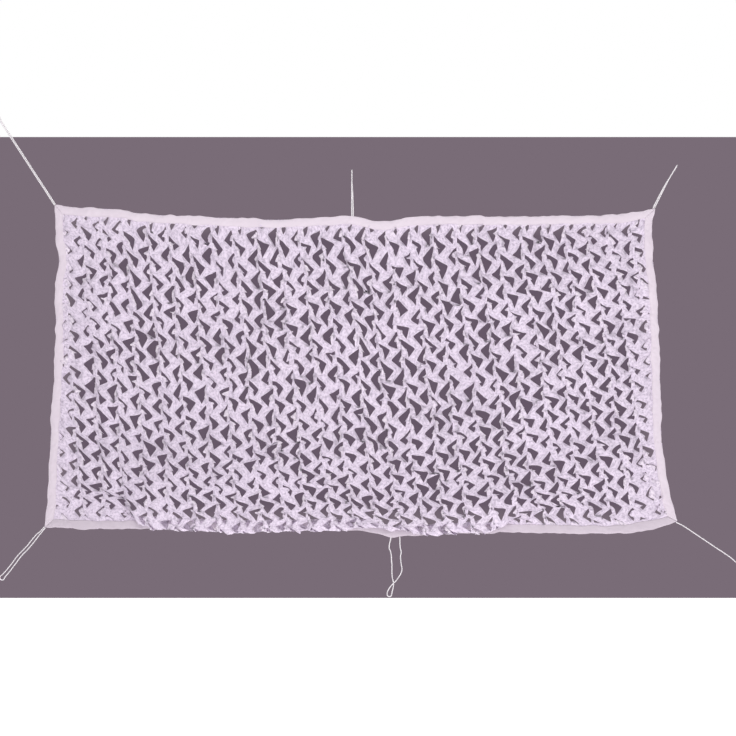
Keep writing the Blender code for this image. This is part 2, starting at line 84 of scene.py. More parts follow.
# ---------------------------------------------------------------- sizes of the real object
MM = 0.001
PANEL_WIDTH = 3.0
PANEL_DROP = 1.5
CLOTH_THICKNESS = 0.9 * MM
TAPE_WIDTH = 38 * MM
FREE_INSET = TAPE_WIDTH + 3 * MM

# The edges of the hung panel. The first and last rows of neighbouring edges are the same corner.
TOP_EDGE = (  # x, z
    (-1.449, 0.056),
    (-1.330, 0.042),
    (-1.230, 0.038),
    (-1.130, 0.033),
    (-1.035, 0.013),
    (-0.740, -0.002),
    (-0.400, -0.016),
    (-0.158, -0.008),
    (0.000, 0.000),
    (0.134, -0.026),
    (0.329, -0.002),
    (0.820, -0.002),
    (1.110, 0.003),
    (1.300, 0.007),
    (1.473, 0.037),
)
BOTTOM_EDGE = (  # x, z
    (-1.498, -1.512),
    (-1.230, -1.522),
    (-0.986, -1.518),
    (-0.600, -1.530),
    (0.012, -1.526),
    (0.134, -1.546),
    (0.200, -1.561),
    (0.260, -1.553),
    (0.720, -1.537),
    (1.010, -1.541),
    (1.300, -1.541),
    (1.497, -1.512),
    (1.580, -1.483),
)
LEFT_EDGE = (  # z, x
    (0.056, -1.449),
    (-0.095, -1.444),
    (-0.212, -1.429),
    (-0.329, -1.447),
    (-0.563, -1.444),
    (-0.796, -1.454),
    (-1.147, -1.473),
    (-1.380, -1.483),
    (-1.512, -1.498),
)
RIGHT_EDGE = (  # z, x
    (0.037, 1.473),
    (-0.037, 1.459),
    (-0.212, 1.463),
    (-0.329, 1.478),
    (-0.796, 1.497),
    (-1.030, 1.502),
    (-1.264, 1.527),
    (-1.380, 1.551),
    (-1.483, 1.580),
)

# How the cloth hangs between its edges
SAG = 0.030
SAG_MIDDLE = 0.50
BULGE = 0.020
EDGE_RAMP = 0.250
RELIEF_WAVES = (  # height, waves across, waves down, phase in turns
    (0.014, 2.3, 0.6, 0.10),
    (0.009, 4.1, -1.2, 0.45),
    (0.006, 1.2, 3.1, 0.70),
)
POCKET_SHARE = (  # x, share of the full pocket
    (-1.14, 0.00),
    (-1.08, 0.35),
    (-1.02, 0.85),
    (-0.80, 1.00),
    (-0.12, 1.00),
    (0.03, 0.88),
    (0.14, 0.70),
    (0.24, 0.74),
    (0.34, 0.96),
    (0.56, 1.00),
    (0.66, 0.97),
    (0.73, 0.74),
    (0.80, 0.34),
    (0.88, 0.07),
    (1.00, 0.00),
)
STRETCH_SHARE = (  # x, how far the rows above the pocket sink with it
    (-1.46, 0.00),
    (-1.30, 0.20),
    (-1.06, 0.72),
    (-0.80, 0.96),
    (-0.40, 1.00),
    (0.34, 0.95),
    (0.60, 0.75),
    (0.90, 0.30),
    (1.20, 0.08),
    (1.46, 0.00),
)
STRETCH_FROM = 0.070
STRETCH_RAMP = 0.160
POCKET_PROFILE = (  # cloth length up from the binding, forward, rise
    (0.000, 0.000, 0.000),
    (0.008, 0.001, 0.007),
    (0.014, 0.005, 0.011),
    (0.020, 0.011, 0.010),
    (0.027, 0.015, 0.004),
    (0.045, 0.017, -0.013),
    (0.064, 0.018, -0.032),
    (0.074, 0.022, -0.041),
    (0.082, 0.029, -0.046),
    (0.090, 0.037, -0.043),
    (0.102, 0.042, -0.034),
    (0.140, 0.046, 0.000),
    (0.220, 0.044, 0.073),
    (0.340, 0.036, 0.188),
    (0.460, 0.026, 0.306),
    (0.600, 0.012, 0.455),
    (0.760, 0.003, 0.640),
    (0.924, 0.000, 0.830),
    (1.114, 0.000, 1.044),
    (1.234, 0.000, 1.182),
    (1.418, 0.000, 1.418),
)

# Tie cords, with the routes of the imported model
CORD_DIAMETER = 5.0 * MM
TIE_TOP_LEFT = (
    (-1.4516, 0.000, 0.0555),
    (-1.4612, 0.000, 0.0704),
    (-1.4839, 0.000, 0.1053),
    (-1.5165, 0.000, 0.1557),
    (-1.5492, 0.000, 0.2060),
    (-1.5819, 0.000, 0.2563),
    (-1.6146, 0.000, 0.3066),
    (-1.6472, 0.000, 0.3570),
    (-1.6799, 0.000, 0.4073),
    (-1.7017, 0.000, 0.4408),
    (-1.7136, 0.000, 0.4593),
    (-1.7178, 0.000, 0.4644),
    (-1.7222, 0.000, 0.4687),
    (-1.7270, 0.000, 0.4727),
    (-1.7319, 0.000, 0.4767),
    (-1.7364, 0.000, 0.4809),
    (-1.7405, 0.000, 0.4860),
    (-1.7422, 0.000, 0.4899),
    (-1.7421, 0.000, 0.4943),
    (-1.7404, 0.000, 0.4982),
    (-1.7373, 0.000, 0.5012),
    (-1.7334, 0.000, 0.5028),
    (-1.7291, 0.000, 0.5027),
    (-1.7250, 0.000, 0.5011),
    (-1.7221, 0.000, 0.4980),
    (-1.7192, 0.000, 0.4921),
    (-1.7171, 0.000, 0.4863),
    (-1.7154, 0.000, 0.4803),
    (-1.7138, 0.000, 0.4741),
    (-1.7116, 0.000, 0.4684),
    (-1.7086, 0.000, 0.4625),
    (-1.6967, 0.000, 0.4440),
    (-1.6749, 0.000, 0.4105),
    (-1.6422, 0.000, 0.3602),
    (-1.6096, 0.000, 0.3098),
    (-1.5769, 0.000, 0.2595),
    (-1.5442, 0.000, 0.2092),
    (-1.5115, 0.000, 0.1589),
    (-1.4789, 0.000, 0.1085),
    (-1.4560, 0.000, 0.0734),
    (-1.4470, 0.000, 0.0594),
)
TIE_TOP_CENTRE = (
    (-0.0036, 0.000, 0.0015),
    (-0.0036, 0.0000, 0.0200),
    (-0.0036, 0.0000, 0.0450),
    (-0.0037, -0.0008, 0.0750),
    (-0.0037, -0.0018, 0.1050),
    (-0.0035, -0.0026, 0.1350),
    (-0.0031, -0.0030, 0.1650),
    (-0.0029, -0.0031, 0.1780),
    (-0.0029, -0.0037, 0.1850),
    (-0.0029, -0.0050, 0.1910),
    (-0.0029, -0.0069, 0.1970),
    (-0.0029, -0.0088, 0.2030),
    (-0.0029, -0.0103, 0.2090),
    (-0.0029, -0.0110, 0.2155),
    (-0.0029, -0.0102, 0.2197),
    (-0.0029, -0.0078, 0.2233),
    (-0.0029, -0.0042, 0.2257),
    (-0.0029, 0.0000, 0.2265),
    (-0.0029, 0.0042, 0.2257),
    (-0.0029, 0.0078, 0.2233),
    (-0.0029, 0.0102, 0.2197),
    (-0.0029, 0.0110, 0.2155),
    (-0.0029, 0.0103, 0.2090),
    (-0.0029, 0.0088, 0.2030),
    (-0.0029, 0.0069, 0.1970),
    (-0.0029, 0.0050, 0.1910),
    (-0.0029, 0.0037, 0.1850),
    (-0.0028, 0.0031, 0.1780),
    (-0.0021, 0.0030, 0.1650),
    (-0.0003, 0.0026, 0.1350),
    (0.0013, 0.0018, 0.1050),
    (0.0025, 0.0008, 0.0750),
    (0.0032, 0.0000, 0.0450),
    (0.0035, 0.0000, 0.0200),
    (0.0036, 0.000, 0.0014),
)
TIE_TOP_RIGHT = (
    (1.4628, 0.000, 0.0391),
    (1.4756, 0.0000, 0.0661),
    (1.4903, -0.0006, 0.0949),
    (1.5056, -0.0015, 0.1238),
    (1.5213, -0.0023, 0.1519),
    (1.5371, -0.0029, 0.1775),
    (1.5495, -0.0030, 0.1970),
    (1.5563, -0.0031, 0.2081),
    (1.5599, -0.0037, 0.2141),
    (1.5630, -0.0050, 0.2192),
    (1.5662, -0.0069, 0.2243),
    (1.5693, -0.0088, 0.2294),
    (1.5724, -0.0103, 0.2346),
    (1.5758, -0.0110, 0.2401),
    (1.5780, -0.0102, 0.2437),
    (1.5798, -0.0078, 0.2468),
    (1.5811, -0.0042, 0.2488),
    (1.5815, 0.0000, 0.2495),
    (1.5811, 0.0042, 0.2488),
    (1.5798, 0.0078, 0.2468),
    (1.5780, 0.0102, 0.2437),
    (1.5758, 0.0110, 0.2401),
    (1.5724, 0.0103, 0.2346),
    (1.5693, 0.0088, 0.2294),
    (1.5662, 0.0069, 0.2243),
    (1.5630, 0.0050, 0.2192),
    (1.5599, 0.0037, 0.2141),
    (1.5563, 0.0031, 0.2081),
    (1.5495, 0.0030, 0.1970),
    (1.5389, 0.0029, 0.1765),
    (1.5247, 0.0023, 0.1501),
    (1.5104, 0.0015, 0.1212),
    (1.4957, 0.0006, 0.0921),
    (1.4814, 0.0000, 0.0629),
    (1.4706, 0.000, 0.0403),
)
TIE_BOTTOM_LEFT = (
    (-1.5007, 0.000, -1.5113),
    (-1.5110, 0.000, -1.5225),
    (-1.5245, 0.000, -1.5365),
    (-1.5400, 0.000, -1.5490),
    (-1.5660, 0.000, -1.5800),
    (-1.5850, 0.000, -1.6040),
    (-1.6045, 0.000, -1.6240),
    (-1.6240, 0.000, -1.6440),
    (-1.6400, 0.000, -1.6630),
    (-1.6540, 0.000, -1.6830),
    (-1.6690, 0.000, -1.7020),
    (-1.6840, 0.000, -1.7200),
    (-1.6997, 0.000, -1.7379),
    (-1.7090, 0.000, -1.7462),
    (-1.7163, 0.000, -1.7534),
    (-1.7178, 0.000, -1.7586),
    (-1.7167, 0.000, -1.7639),
    (-1.7132, 0.000, -1.7681),
    (-1.7082, 0.000, -1.7701),
    (-1.7028, 0.000, -1.7695),
    (-1.6983, 0.000, -1.7665),
    (-1.6957, 0.000, -1.7617),
    (-1.6915, 0.000, -1.7545),
    (-1.6869, 0.000, -1.7491),
    (-1.6760, 0.000, -1.7360),
    (-1.6640, 0.000, -1.7210),
    (-1.6500, 0.000, -1.7020),
    (-1.6350, 0.000, -1.6830),
    (-1.6210, 0.000, -1.6630),
    (-1.6050, 0.000, -1.6440),
    (-1.5850, 0.000, -1.6250),
    (-1.5680, 0.000, -1.6050),
    (-1.5510, 0.000, -1.5850),
    (-1.5290, 0.000, -1.5560),
    (-1.5165, 0.000, -1.5405),
    (-1.5055, 0.000, -1.5270),
    (-1.4960, 0.000, -1.5159),
)
TIE_BOTTOM_CENTRE = (
    (0.1870, 0.000, -1.5615),
    (0.1850, 0.000, -1.5750),
    (0.1800, 0.000, -1.5950),
    (0.1790, 0.000, -1.6150),
    (0.1860, 0.001, -1.6340),
    (0.1890, 0.001, -1.6530),
    (0.1900, 0.001, -1.6730),
    (0.1920, 0.001, -1.7000),
    (0.1920, 0.002, -1.7300),
    (0.1930, 0.002, -1.7510),
    (0.1970, 0.003, -1.7700),
    (0.2000, 0.004, -1.7870),
    (0.1985, 0.003, -1.8050),
    (0.1950, 0.002, -1.8200),
    (0.1925, 0.001, -1.8310),
    (0.1911, 0.000, -1.8389),
    (0.1899, 0.000, -1.8445),
    (0.1862, 0.000, -1.8486),
    (0.1811, 0.000, -1.8506),
    (0.1756, 0.000, -1.8499),
    (0.1711, 0.000, -1.8468),
    (0.1686, 0.000, -1.8419),
    (0.1697, -0.001, -1.8300),
    (0.1735, -0.002, -1.8200),
    (0.1790, -0.003, -1.8100),
    (0.1870, -0.004, -1.7990),
    (0.1985, -0.004, -1.7870),
    (0.2130, -0.003, -1.7720),
    (0.2270, -0.002, -1.7530),
    (0.2380, -0.001, -1.7330),
    (0.2410, -0.001, -1.7130),
    (0.2370, 0.000, -1.6920),
    (0.2350, 0.000, -1.6730),
    (0.2340, 0.000, -1.6530),
    (0.2370, 0.000, -1.6340),
    (0.2330, 0.000, -1.6140),
    (0.2310, 0.000, -1.5950),
    (0.2310, 0.000, -1.5750),
    (0.2300, 0.000, -1.5595),
)
TIE_BOTTOM_RIGHT = (
    (1.5754, 0.000, -1.4891),
    (1.5870, 0.000, -1.4945),
    (1.6050, 0.000, -1.5030),
    (1.6240, 0.000, -1.5150),
    (1.6440, 0.000, -1.5280),
    (1.6630, 0.000, -1.5410),
    (1.6830, 0.000, -1.5540),
    (1.7020, 0.000, -1.5670),
    (1.7215, 0.000, -1.5800),
    (1.7410, 0.000, -1.5930),
    (1.7600, 0.000, -1.6060),
    (1.7800, 0.000, -1.6190),
    (1.8000, 0.000, -1.6320),
    (1.8190, 0.000, -1.6450),
    (1.8380, 0.000, -1.6580),
    (1.8570, 0.000, -1.6740),
    (1.8760, 0.000, -1.6900),
    (1.8910, 0.000, -1.7010),
)


# ---------------------------------------------------------------- helpers
def srgb(code: str) -> tuple[float, float, float, float]:
    """Turn an sRGB hex code into linear light.

    Args:
        code: Six hex digits, such as "E0D2E3".

    Returns:
        The linear colour, with an alpha of 1.
    """
    shares = [int(code[i : i + 2], 16) / 255 for i in (0, 2, 4)]
    linear = [s / 12.92 if s <= 0.04045 else ((s + 0.055) / 1.055) ** 2.4 for s in shares]
    return (linear[0], linear[1], linear[2], 1.0)


def add_node(tree: bpy.types.NodeTree, kind: str, inputs: dict[Any, Any], **settings: Any) -> Any:
    """Add a node to a shader or geometry tree.

    Args:
        tree: The tree.
        kind: The node's type, such as "ShaderNodeMath".
        inputs: A value or an output socket for each input, by its index or its shown name.
        settings: The node's own properties.

    Returns:
        The node.
    """
    node = tree.nodes.new(kind)
    for name, value in settings.items():
        setattr(node, name, value)
    for key, value in inputs.items():
        if isinstance(key, int):
            socket = node.inputs[key]
        else:
            socket = next(s for s in node.inputs if s.name == key and s.enabled)
        if isinstance(value, bpy.types.NodeSocket):
            tree.links.new(value, socket)
        else:
            socket.default_value = value
    return node


def lerp(start: Any, end: Any, share: Any) -> Any:
    """Go straight from start to end as share goes from 0 to 1."""
    return start + (end - start) * share


def ease(share: np.ndarray) -> np.ndarray:
    """Go smoothly from 0 to 1 as share does."""
    held = np.clip(share, 0.0, 1.0)
    return held * held * (3.0 - 2.0 * held)


def read_curve(rows: Table, where: np.ndarray, column: int = 1) -> np.ndarray:
    """Read a column of a table on a smooth curve through its rows.

    Args:
        rows: The table, with its first column rising or falling.
        where: Values of the first column.
        column: The column to read.

    Returns:
        The curve's height at each value.
    """
    table = np.array(rows if rows[-1][0] > rows[0][0] else rows[::-1])
    places, values = table[:, 0], table[:, column]
    last = len(places) - 1
    low, high = np.maximum(np.arange(last + 1) - 1, 0), np.minimum(np.arange(last + 1) + 1, last)
    slopes = (values[high] - values[low]) / (places[high] - places[low])
    held = np.clip(where, places[0], places[-1])
    after = np.clip(np.searchsorted(places, held), 1, last)
    before = after - 1
    span = places[after] - places[before]
    t = (held - places[before]) / span
    return (
        values[before] * (2 * t**3 - 3 * t**2 + 1)
        + slopes[before] * span * (t**3 - 2 * t**2 + t)
        + values[after] * (3 * t**2 - 2 * t**3)
        + slopes[after] * span * (t**3 - t**2)
    )


def smooth_noise(places: np.ndarray, seed: int) -> np.ndarray:
    """Smooth noise with a wavelength of about 1 and a height of about 1.

    Args:
        places: One row of coordinates for each point.
        seed: The same seed gives the same noise.

    Returns:
        One value for each point.
    """
    waves = 14
    rng = np.random.default_rng(seed)
    total = np.zeros(len(places))
    for _ in range(waves):
        direction = rng.normal(size=places.shape[1])
        direction /= np.linalg.norm(direction)
        total += np.sin(math.tau * (places @ direction * rng.uniform(0.6, 1.4) + rng.random()))
    return total / math.sqrt(waves)


def read_attribute(mesh: bpy.types.Mesh, name: str, size: int = 1) -> np.ndarray:
    """Read a float or vector attribute of a mesh's points.

    Args:
        mesh: The mesh.
        name: The attribute's name.
        size: Numbers for each point.

    Returns:
        An array of one value or one row for each point.
    """
    values = np.zeros(len(mesh.vertices) * size, np.float32)
    mesh.attributes[name].data.foreach_get("vector" if size == 3 else "value", values)
    return values.astype(float).reshape(-1, size) if size > 1 else values.astype(float)


def write_attribute(mesh: bpy.types.Mesh, name: str, values: Any, kind: str = "FLOAT") -> None:
    """Write an attribute of a mesh's points.

    Args:
        mesh: The mesh.
        name: The attribute's name.
        values: One value or one row for each point.
        kind: The attribute's type.
    """
    numbers = np.array(values, bool if kind == "BOOLEAN" else np.float32).ravel()
    attribute = mesh.attributes.new(name, kind, "POINT")
    attribute.data.foreach_set("vector" if kind == "FLOAT_VECTOR" else "value", numbers)


def link(obj: bpy.types.Object) -> bpy.types.Object:
    """Link an object into the scene."""
    bpy.context.scene.collection.objects.link(obj)
    return obj


def thicken(piece: bpy.types.Object, name: str, thickness: float) -> None:
    """Give a surface its thickness, half of it to each side.

    Args:
        piece: The surface.
        name: The modifier's name.
        thickness: The thickness.
    """
    modifier = piece.modifiers.new(name, "SOLIDIFY")
    modifier.thickness = thickness
    modifier.offset = 0.0
    modifier.use_even_offset = False


def quad_object(name: str, corners: list[Any], material: bpy.types.Material) -> bpy.types.Object:
    """Make an object of one four-sided face.

    Args:
        name: The object's name.
        corners: Its four corners in order.
        material: The material.

    Returns:
        The object, linked into the scene.
    """
    mesh = bpy.data.meshes.new(name)
    mesh.from_pydata(corners, [], [(0, 1, 2, 3)])
    mesh.materials.append(material)
    return link(bpy.data.objects.new(name, mesh))


def grid_object(name: str, points: np.ndarray, flat: np.ndarray, material: bpy.types.Material) -> Any:
    """Make a grid surface.

    Args:
        name: The object's name.
        points: Positions, as rows by columns by 3.
        flat: The same points on the flat cloth, for the UV map.
        material: The material.

    Returns:
        The object, linked into the scene.
    """
    rows, columns = points.shape[:2]
    at = np.arange(rows * columns).reshape(rows, columns)
    corners = (at[:-1, :-1], at[:-1, 1:], at[1:, 1:], at[1:, :-1])
    faces = np.stack([corner.ravel() for corner in corners], axis=1)
    mesh = bpy.data.meshes.new(name)
    mesh.from_pydata(points.reshape(-1, 3), [], faces.tolist())
    uv = mesh.uv_layers.new(name="UVMap")
    uv.data.foreach_set("uv", flat.reshape(-1, 2)[faces.ravel()].astype(np.float32).ravel())
    mesh.materials.append(material)
    mesh.shade_smooth()
    return link(bpy.data.objects.new(name, mesh))


def geometry_tree(name: str, inputs: dict[str, str]) -> tuple[Any, Any]:
    """Start a Geometry Nodes tree that takes and gives one geometry.

    Args:
        name: The tree's name.
        inputs: The socket type of each named input after the geometry.

    Returns:
        The tree and its input node.
    """
    tree = bpy.data.node_groups.new(name, "GeometryNodeTree")
    tree.interface.new_socket("Geometry", in_out="INPUT", socket_type="NodeSocketGeometry")
    tree.interface.new_socket("Geometry", in_out="OUTPUT", socket_type="NodeSocketGeometry")
    for title, kind in inputs.items():
        tree.interface.new_socket(title, in_out="INPUT", socket_type=kind)
    return tree, add_node(tree, "NodeGroupInput", {})


def run_tree(source: bpy.types.Object, tree: Any, values: dict[str, Any], name: str) -> bpy.types.Mesh:
    """Run a Geometry Nodes tree on an object and keep the result as a plain mesh.

    Args:
        source: The object that carries the modifier. It is removed afterwards.
        tree: The tree.
        values: The value of each named input.
        name: The name of the mesh.

    Returns:
        The mesh.
    """
    modifier = source.modifiers.new(tree.name, "NODES")
    modifier.node_group = tree
    for item in tree.interface.items_tree:
        if item.in_out == "INPUT" and item.name in values:
            modifier[item.identifier] = values[item.name]
    depsgraph = bpy.context.evaluated_depsgraph_get()
    mesh = bpy.data.meshes.new_from_object(
        source.evaluated_get(depsgraph), preserve_all_data_layers=True, depsgraph=depsgraph
    )
    mesh.name = name
    source.modifiers.remove(modifier)
    bpy.data.objects.remove(source, do_unlink=True)
    return mesh


# ---------------------------------------------------------------- finishes
def new_material(name: str, roughness: float) -> tuple[bpy.types.Material, Any, Any]:
    """Start a material on a Principled shader.

    Args:
        name: The material's name.
        roughness: The shader's roughness.

    Returns:
        The material, its tree and its shader.
    """
    material = bpy.data.materials.new(name)
    material.use_nodes = True
    shader = material.node_tree.nodes["Principled BSDF"]
    shader.inputs["Roughness"].default_value = roughness
    return material, material.node_tree, shader


def band_scale(pitch: float) -> float:
    """The scale that repeats a band wave at a pitch. At scale 1 it repeats every pi / 10."""
    return math.pi / 10 / pitch


@dataclass(frozen=True)
class ClothFinish:
    """Thin plain-woven polyester, heat set and matt, with a faint sheen at a low angle.

    Packing crinkles it all over. The shade of the crinkles is painted into its colour as small, soft,
    darker spots.
    """

    name: str = "incised_polyester"
    main_colour: str = "F6E8F8"
    cool_colour: str = "E4D6E9"
    warm_colour: str = "F8EDF6"
    # painted shade: the colour of the crinkles' shaded spots
    crinkle_shade_colour: str = "B2A4B8"
    crinkle_size: float = 11 * MM
    roughness: float = 0.86
    sheen: float = 0.20
    thread_pitch: float = 2.2 * MM  # real threads are 0.3 mm apart; drawn coarse enough to show
    patch_size: float = 140 * MM
    rumple_size: float = 14 * MM

    def build(self) -> bpy.types.Material:
        """Build the cloth's material on its flat coordinates.

        Returns:
            The material.
        """
        material, tree, shader = new_material(self.name, self.roughness)
        flat = add_node(tree, "ShaderNodeUVMap", {}, uv_map="UVMap").outputs["UV"]
        patches = add_node(
            tree, "ShaderNodeTexNoise",
            {"Vector": flat, "Scale": 1 / self.patch_size, "Detail": 3.0, "Roughness": 0.6},
        )
        cool = add_node(
            tree, "ShaderNodeMix",
            {"Factor": patches.outputs[0],
             "A": srgb(self.main_colour), "B": srgb(self.cool_colour)},
            data_type="RGBA",
        )
        tone = add_node(tree, "ShaderNodeAttribute", {}, attribute_name="leaf_tone")
        mixed = add_node(
            tree, "ShaderNodeMix",
            {"Factor": tone.outputs["Fac"], "A": cool.outputs[2], "B": srgb(self.warm_colour)},
            data_type="RGBA",
        )
        # Painted shade: soft darker spots stand in for the shade of the crinkles.
        crinkle = add_node(
            tree, "ShaderNodeTexNoise",
            {"Vector": flat, "Scale": 1 / self.crinkle_size, "Detail": 2.0, "Roughness": 0.6},
        )
        crinkle_shade_share = add_node(
            tree, "ShaderNodeMapRange",
            {"Value": crinkle.outputs[0], "From Min": 0.42, "From Max": 0.70, "To Max": 0.85},
        )
        crinkle_shaded = add_node(
            tree, "ShaderNodeMix",
            {"Factor": crinkle_shade_share.outputs[0], "A": mixed.outputs[2], "B": srgb(self.crinkle_shade_colour)},
            data_type="RGBA",
        )
        warp, weft = (
            add_node(
                tree, "ShaderNodeTexWave",
                {"Vector": flat, "Scale": band_scale(self.thread_pitch), "Distortion": 0.6,
                 "Detail Scale": 2.0},
                wave_type="BANDS", bands_direction=direction,
            )
            for direction in ("X", "Y")
        )
        weave = add_node(
            tree, "ShaderNodeMath", {0: warp.outputs["Color"], 1: weft.outputs["Color"]},
            operation="MAXIMUM",
        )
        rumple = add_node(
            tree, "ShaderNodeTexNoise",
            {"Vector": flat, "Scale": 1 / self.rumple_size, "Detail": 2.0},
        )
        rumple_bump = add_node(
            tree, "ShaderNodeBump",
            {"Strength": 1.0, "Distance": 5.0 * MM, "Height": rumple.outputs[0]},
        )
        weave_bump = add_node(
            tree, "ShaderNodeBump",
            {"Strength": 0.30, "Distance": 0.15 * MM, "Height": weave.outputs[0],
             "Normal": rumple_bump.outputs[0]},
        )
        tree.links.new(crinkle_shaded.outputs[2], shader.inputs["Base Color"])
        tree.links.new(weave_bump.outputs[0], shader.inputs["Normal"])
        shader.inputs["Sheen Weight"].default_value = self.sheen
        return material


@dataclass(frozen=True)
class TapeFinish:
    """Plain-woven polyester tape: whiter, denser and smoother than the cloth, with a fine rib.

    The lower edge has a greyer one, whose darker colour is painted shade. Whether the photo's
    edge is soiled or in shade doesn't show.
    """

    name: str = "woven_polyester_tape"
    main_colour: str = "EADEE8"
    soiled_colour: str = "DBCDD9"
    roughness: float = 0.80
    sheen: float = 0.15
    rib_pitch: float = 2.0 * MM  # real ribs are 0.5 mm apart; drawn coarse enough to show
    stain_size: float = 90 * MM
    rumple_size: float = 18 * MM

    def build(self) -> bpy.types.Material:
        """Build the tape's material on its flat coordinates.

        Returns:
            The material.
        """
        material, tree, shader = new_material(self.name, self.roughness)
        flat = add_node(tree, "ShaderNodeUVMap", {}, uv_map="UVMap").outputs["UV"]
        stain = add_node(
            tree, "ShaderNodeTexNoise",
            {"Vector": flat, "Scale": 1 / self.stain_size, "Detail": 3.0, "Roughness": 0.65},
        )
        colour = add_node(
            tree, "ShaderNodeMix",
            {"Factor": stain.outputs[0], "A": srgb(self.main_colour), "B": srgb(self.soiled_colour)},
            data_type="RGBA",
        )
        rib = add_node(
            tree, "ShaderNodeTexWave",
            {"Vector": flat, "Scale": band_scale(self.rib_pitch), "Distortion": 0.3},
            wave_type="BANDS", bands_direction="X",
        )
        rumple = add_node(
            tree, "ShaderNodeTexNoise",
            {"Vector": flat, "Scale": 1 / self.rumple_size, "Detail": 2.0},
        )
        rumple_bump = add_node(
            tree, "ShaderNodeBump",
            {"Strength": 0.30, "Distance": 2.0 * MM, "Height": rumple.outputs[0]},
        )
        rib_bump = add_node(
            tree, "ShaderNodeBump",
            {"Strength": 0.30, "Distance": 0.12 * MM, "Height": rib.outputs["Color"],
             "Normal": rumple_bump.outputs[0]},
        )
        tree.links.new(colour.outputs[2], shader.inputs["Base Color"])
        tree.links.new(rib_bump.outputs[0], shader.inputs["Normal"])
        shader.inputs["Sheen Weight"].default_value = self.sheen
        return material


@dataclass(frozen=True)
class CordFinish:
    """Three-strand laid polypropylene: near white, with fine filaments that give a silky streak."""

    name: str = "laid_polypropylene"
    main_colour: str = "FBF8F9"
    shade_colour: str = "EEE7EC"
    roughness: float = 0.55
    filament_pitch: float = 0.6 * MM  # real filaments are 0.05 mm; drawn coarse enough to show
    streak_length: float = 14 * MM

    def build(self) -> bpy.types.Material:
        """Build the cord's material on its own length and girth.

        Returns:
            The material.
        """
        material, tree, shader = new_material(self.name, self.roughness)
        flat = add_node(tree, "ShaderNodeUVMap", {}, uv_map="UVMap").outputs["UV"]
        stretched = add_node(
            tree, "ShaderNodeMapping",
            {"Vector": flat, "Scale": (1 / self.streak_length, 1 / self.filament_pitch, 1.0)},
        )
        streaks = add_node(
            tree, "ShaderNodeTexNoise", {"Vector": stretched.outputs[0], "Scale": 1.0, "Detail": 2.0},
        )
        colour = add_node(
            tree, "ShaderNodeMix",
            {"Factor": streaks.outputs[0], "A": srgb(self.main_colour), "B": srgb(self.shade_colour)},
            data_type="RGBA",
        )
        bump = add_node(
            tree, "ShaderNodeBump",
            {"Strength": 0.4, "Distance": 0.2 * MM, "Height": streaks.outputs[0]},
        )
        tree.links.new(colour.outputs[2], shader.inputs["Base Color"])
        tree.links.new(bump.outputs[0], shader.inputs["Normal"])
        return material


@dataclass(frozen=True)
class ThreadFinish:
    """Spun polyester sewing thread: white and slightly glossy."""

    name: str = "spun_polyester_thread"
    main_colour: str = "F4EDF3"
    dull_colour: str = "DCD0DB"
    roughness: float = 0.60
    fluff_size: float = 1.5 * MM

    def build(self) -> bpy.types.Material:
        """Build the thread's material.

        Returns:
            The material.
        """
        material, tree, shader = new_material(self.name, self.roughness)
        place = add_node(tree, "ShaderNodeTexCoord", {}).outputs["Object"]
        fluff = add_node(
            tree, "ShaderNodeTexNoise", {"Vector": place, "Scale": 1 / self.fluff_size, "Detail": 1.0},
        )
        colour = add_node(
            tree, "ShaderNodeMix",
            {"Factor": fluff.outputs[0], "A": srgb(self.main_colour), "B": srgb(self.dull_colour)},
            data_type="RGBA",
        )
        tree.links.new(colour.outputs[2], shader.inputs["Base Color"])
        return material


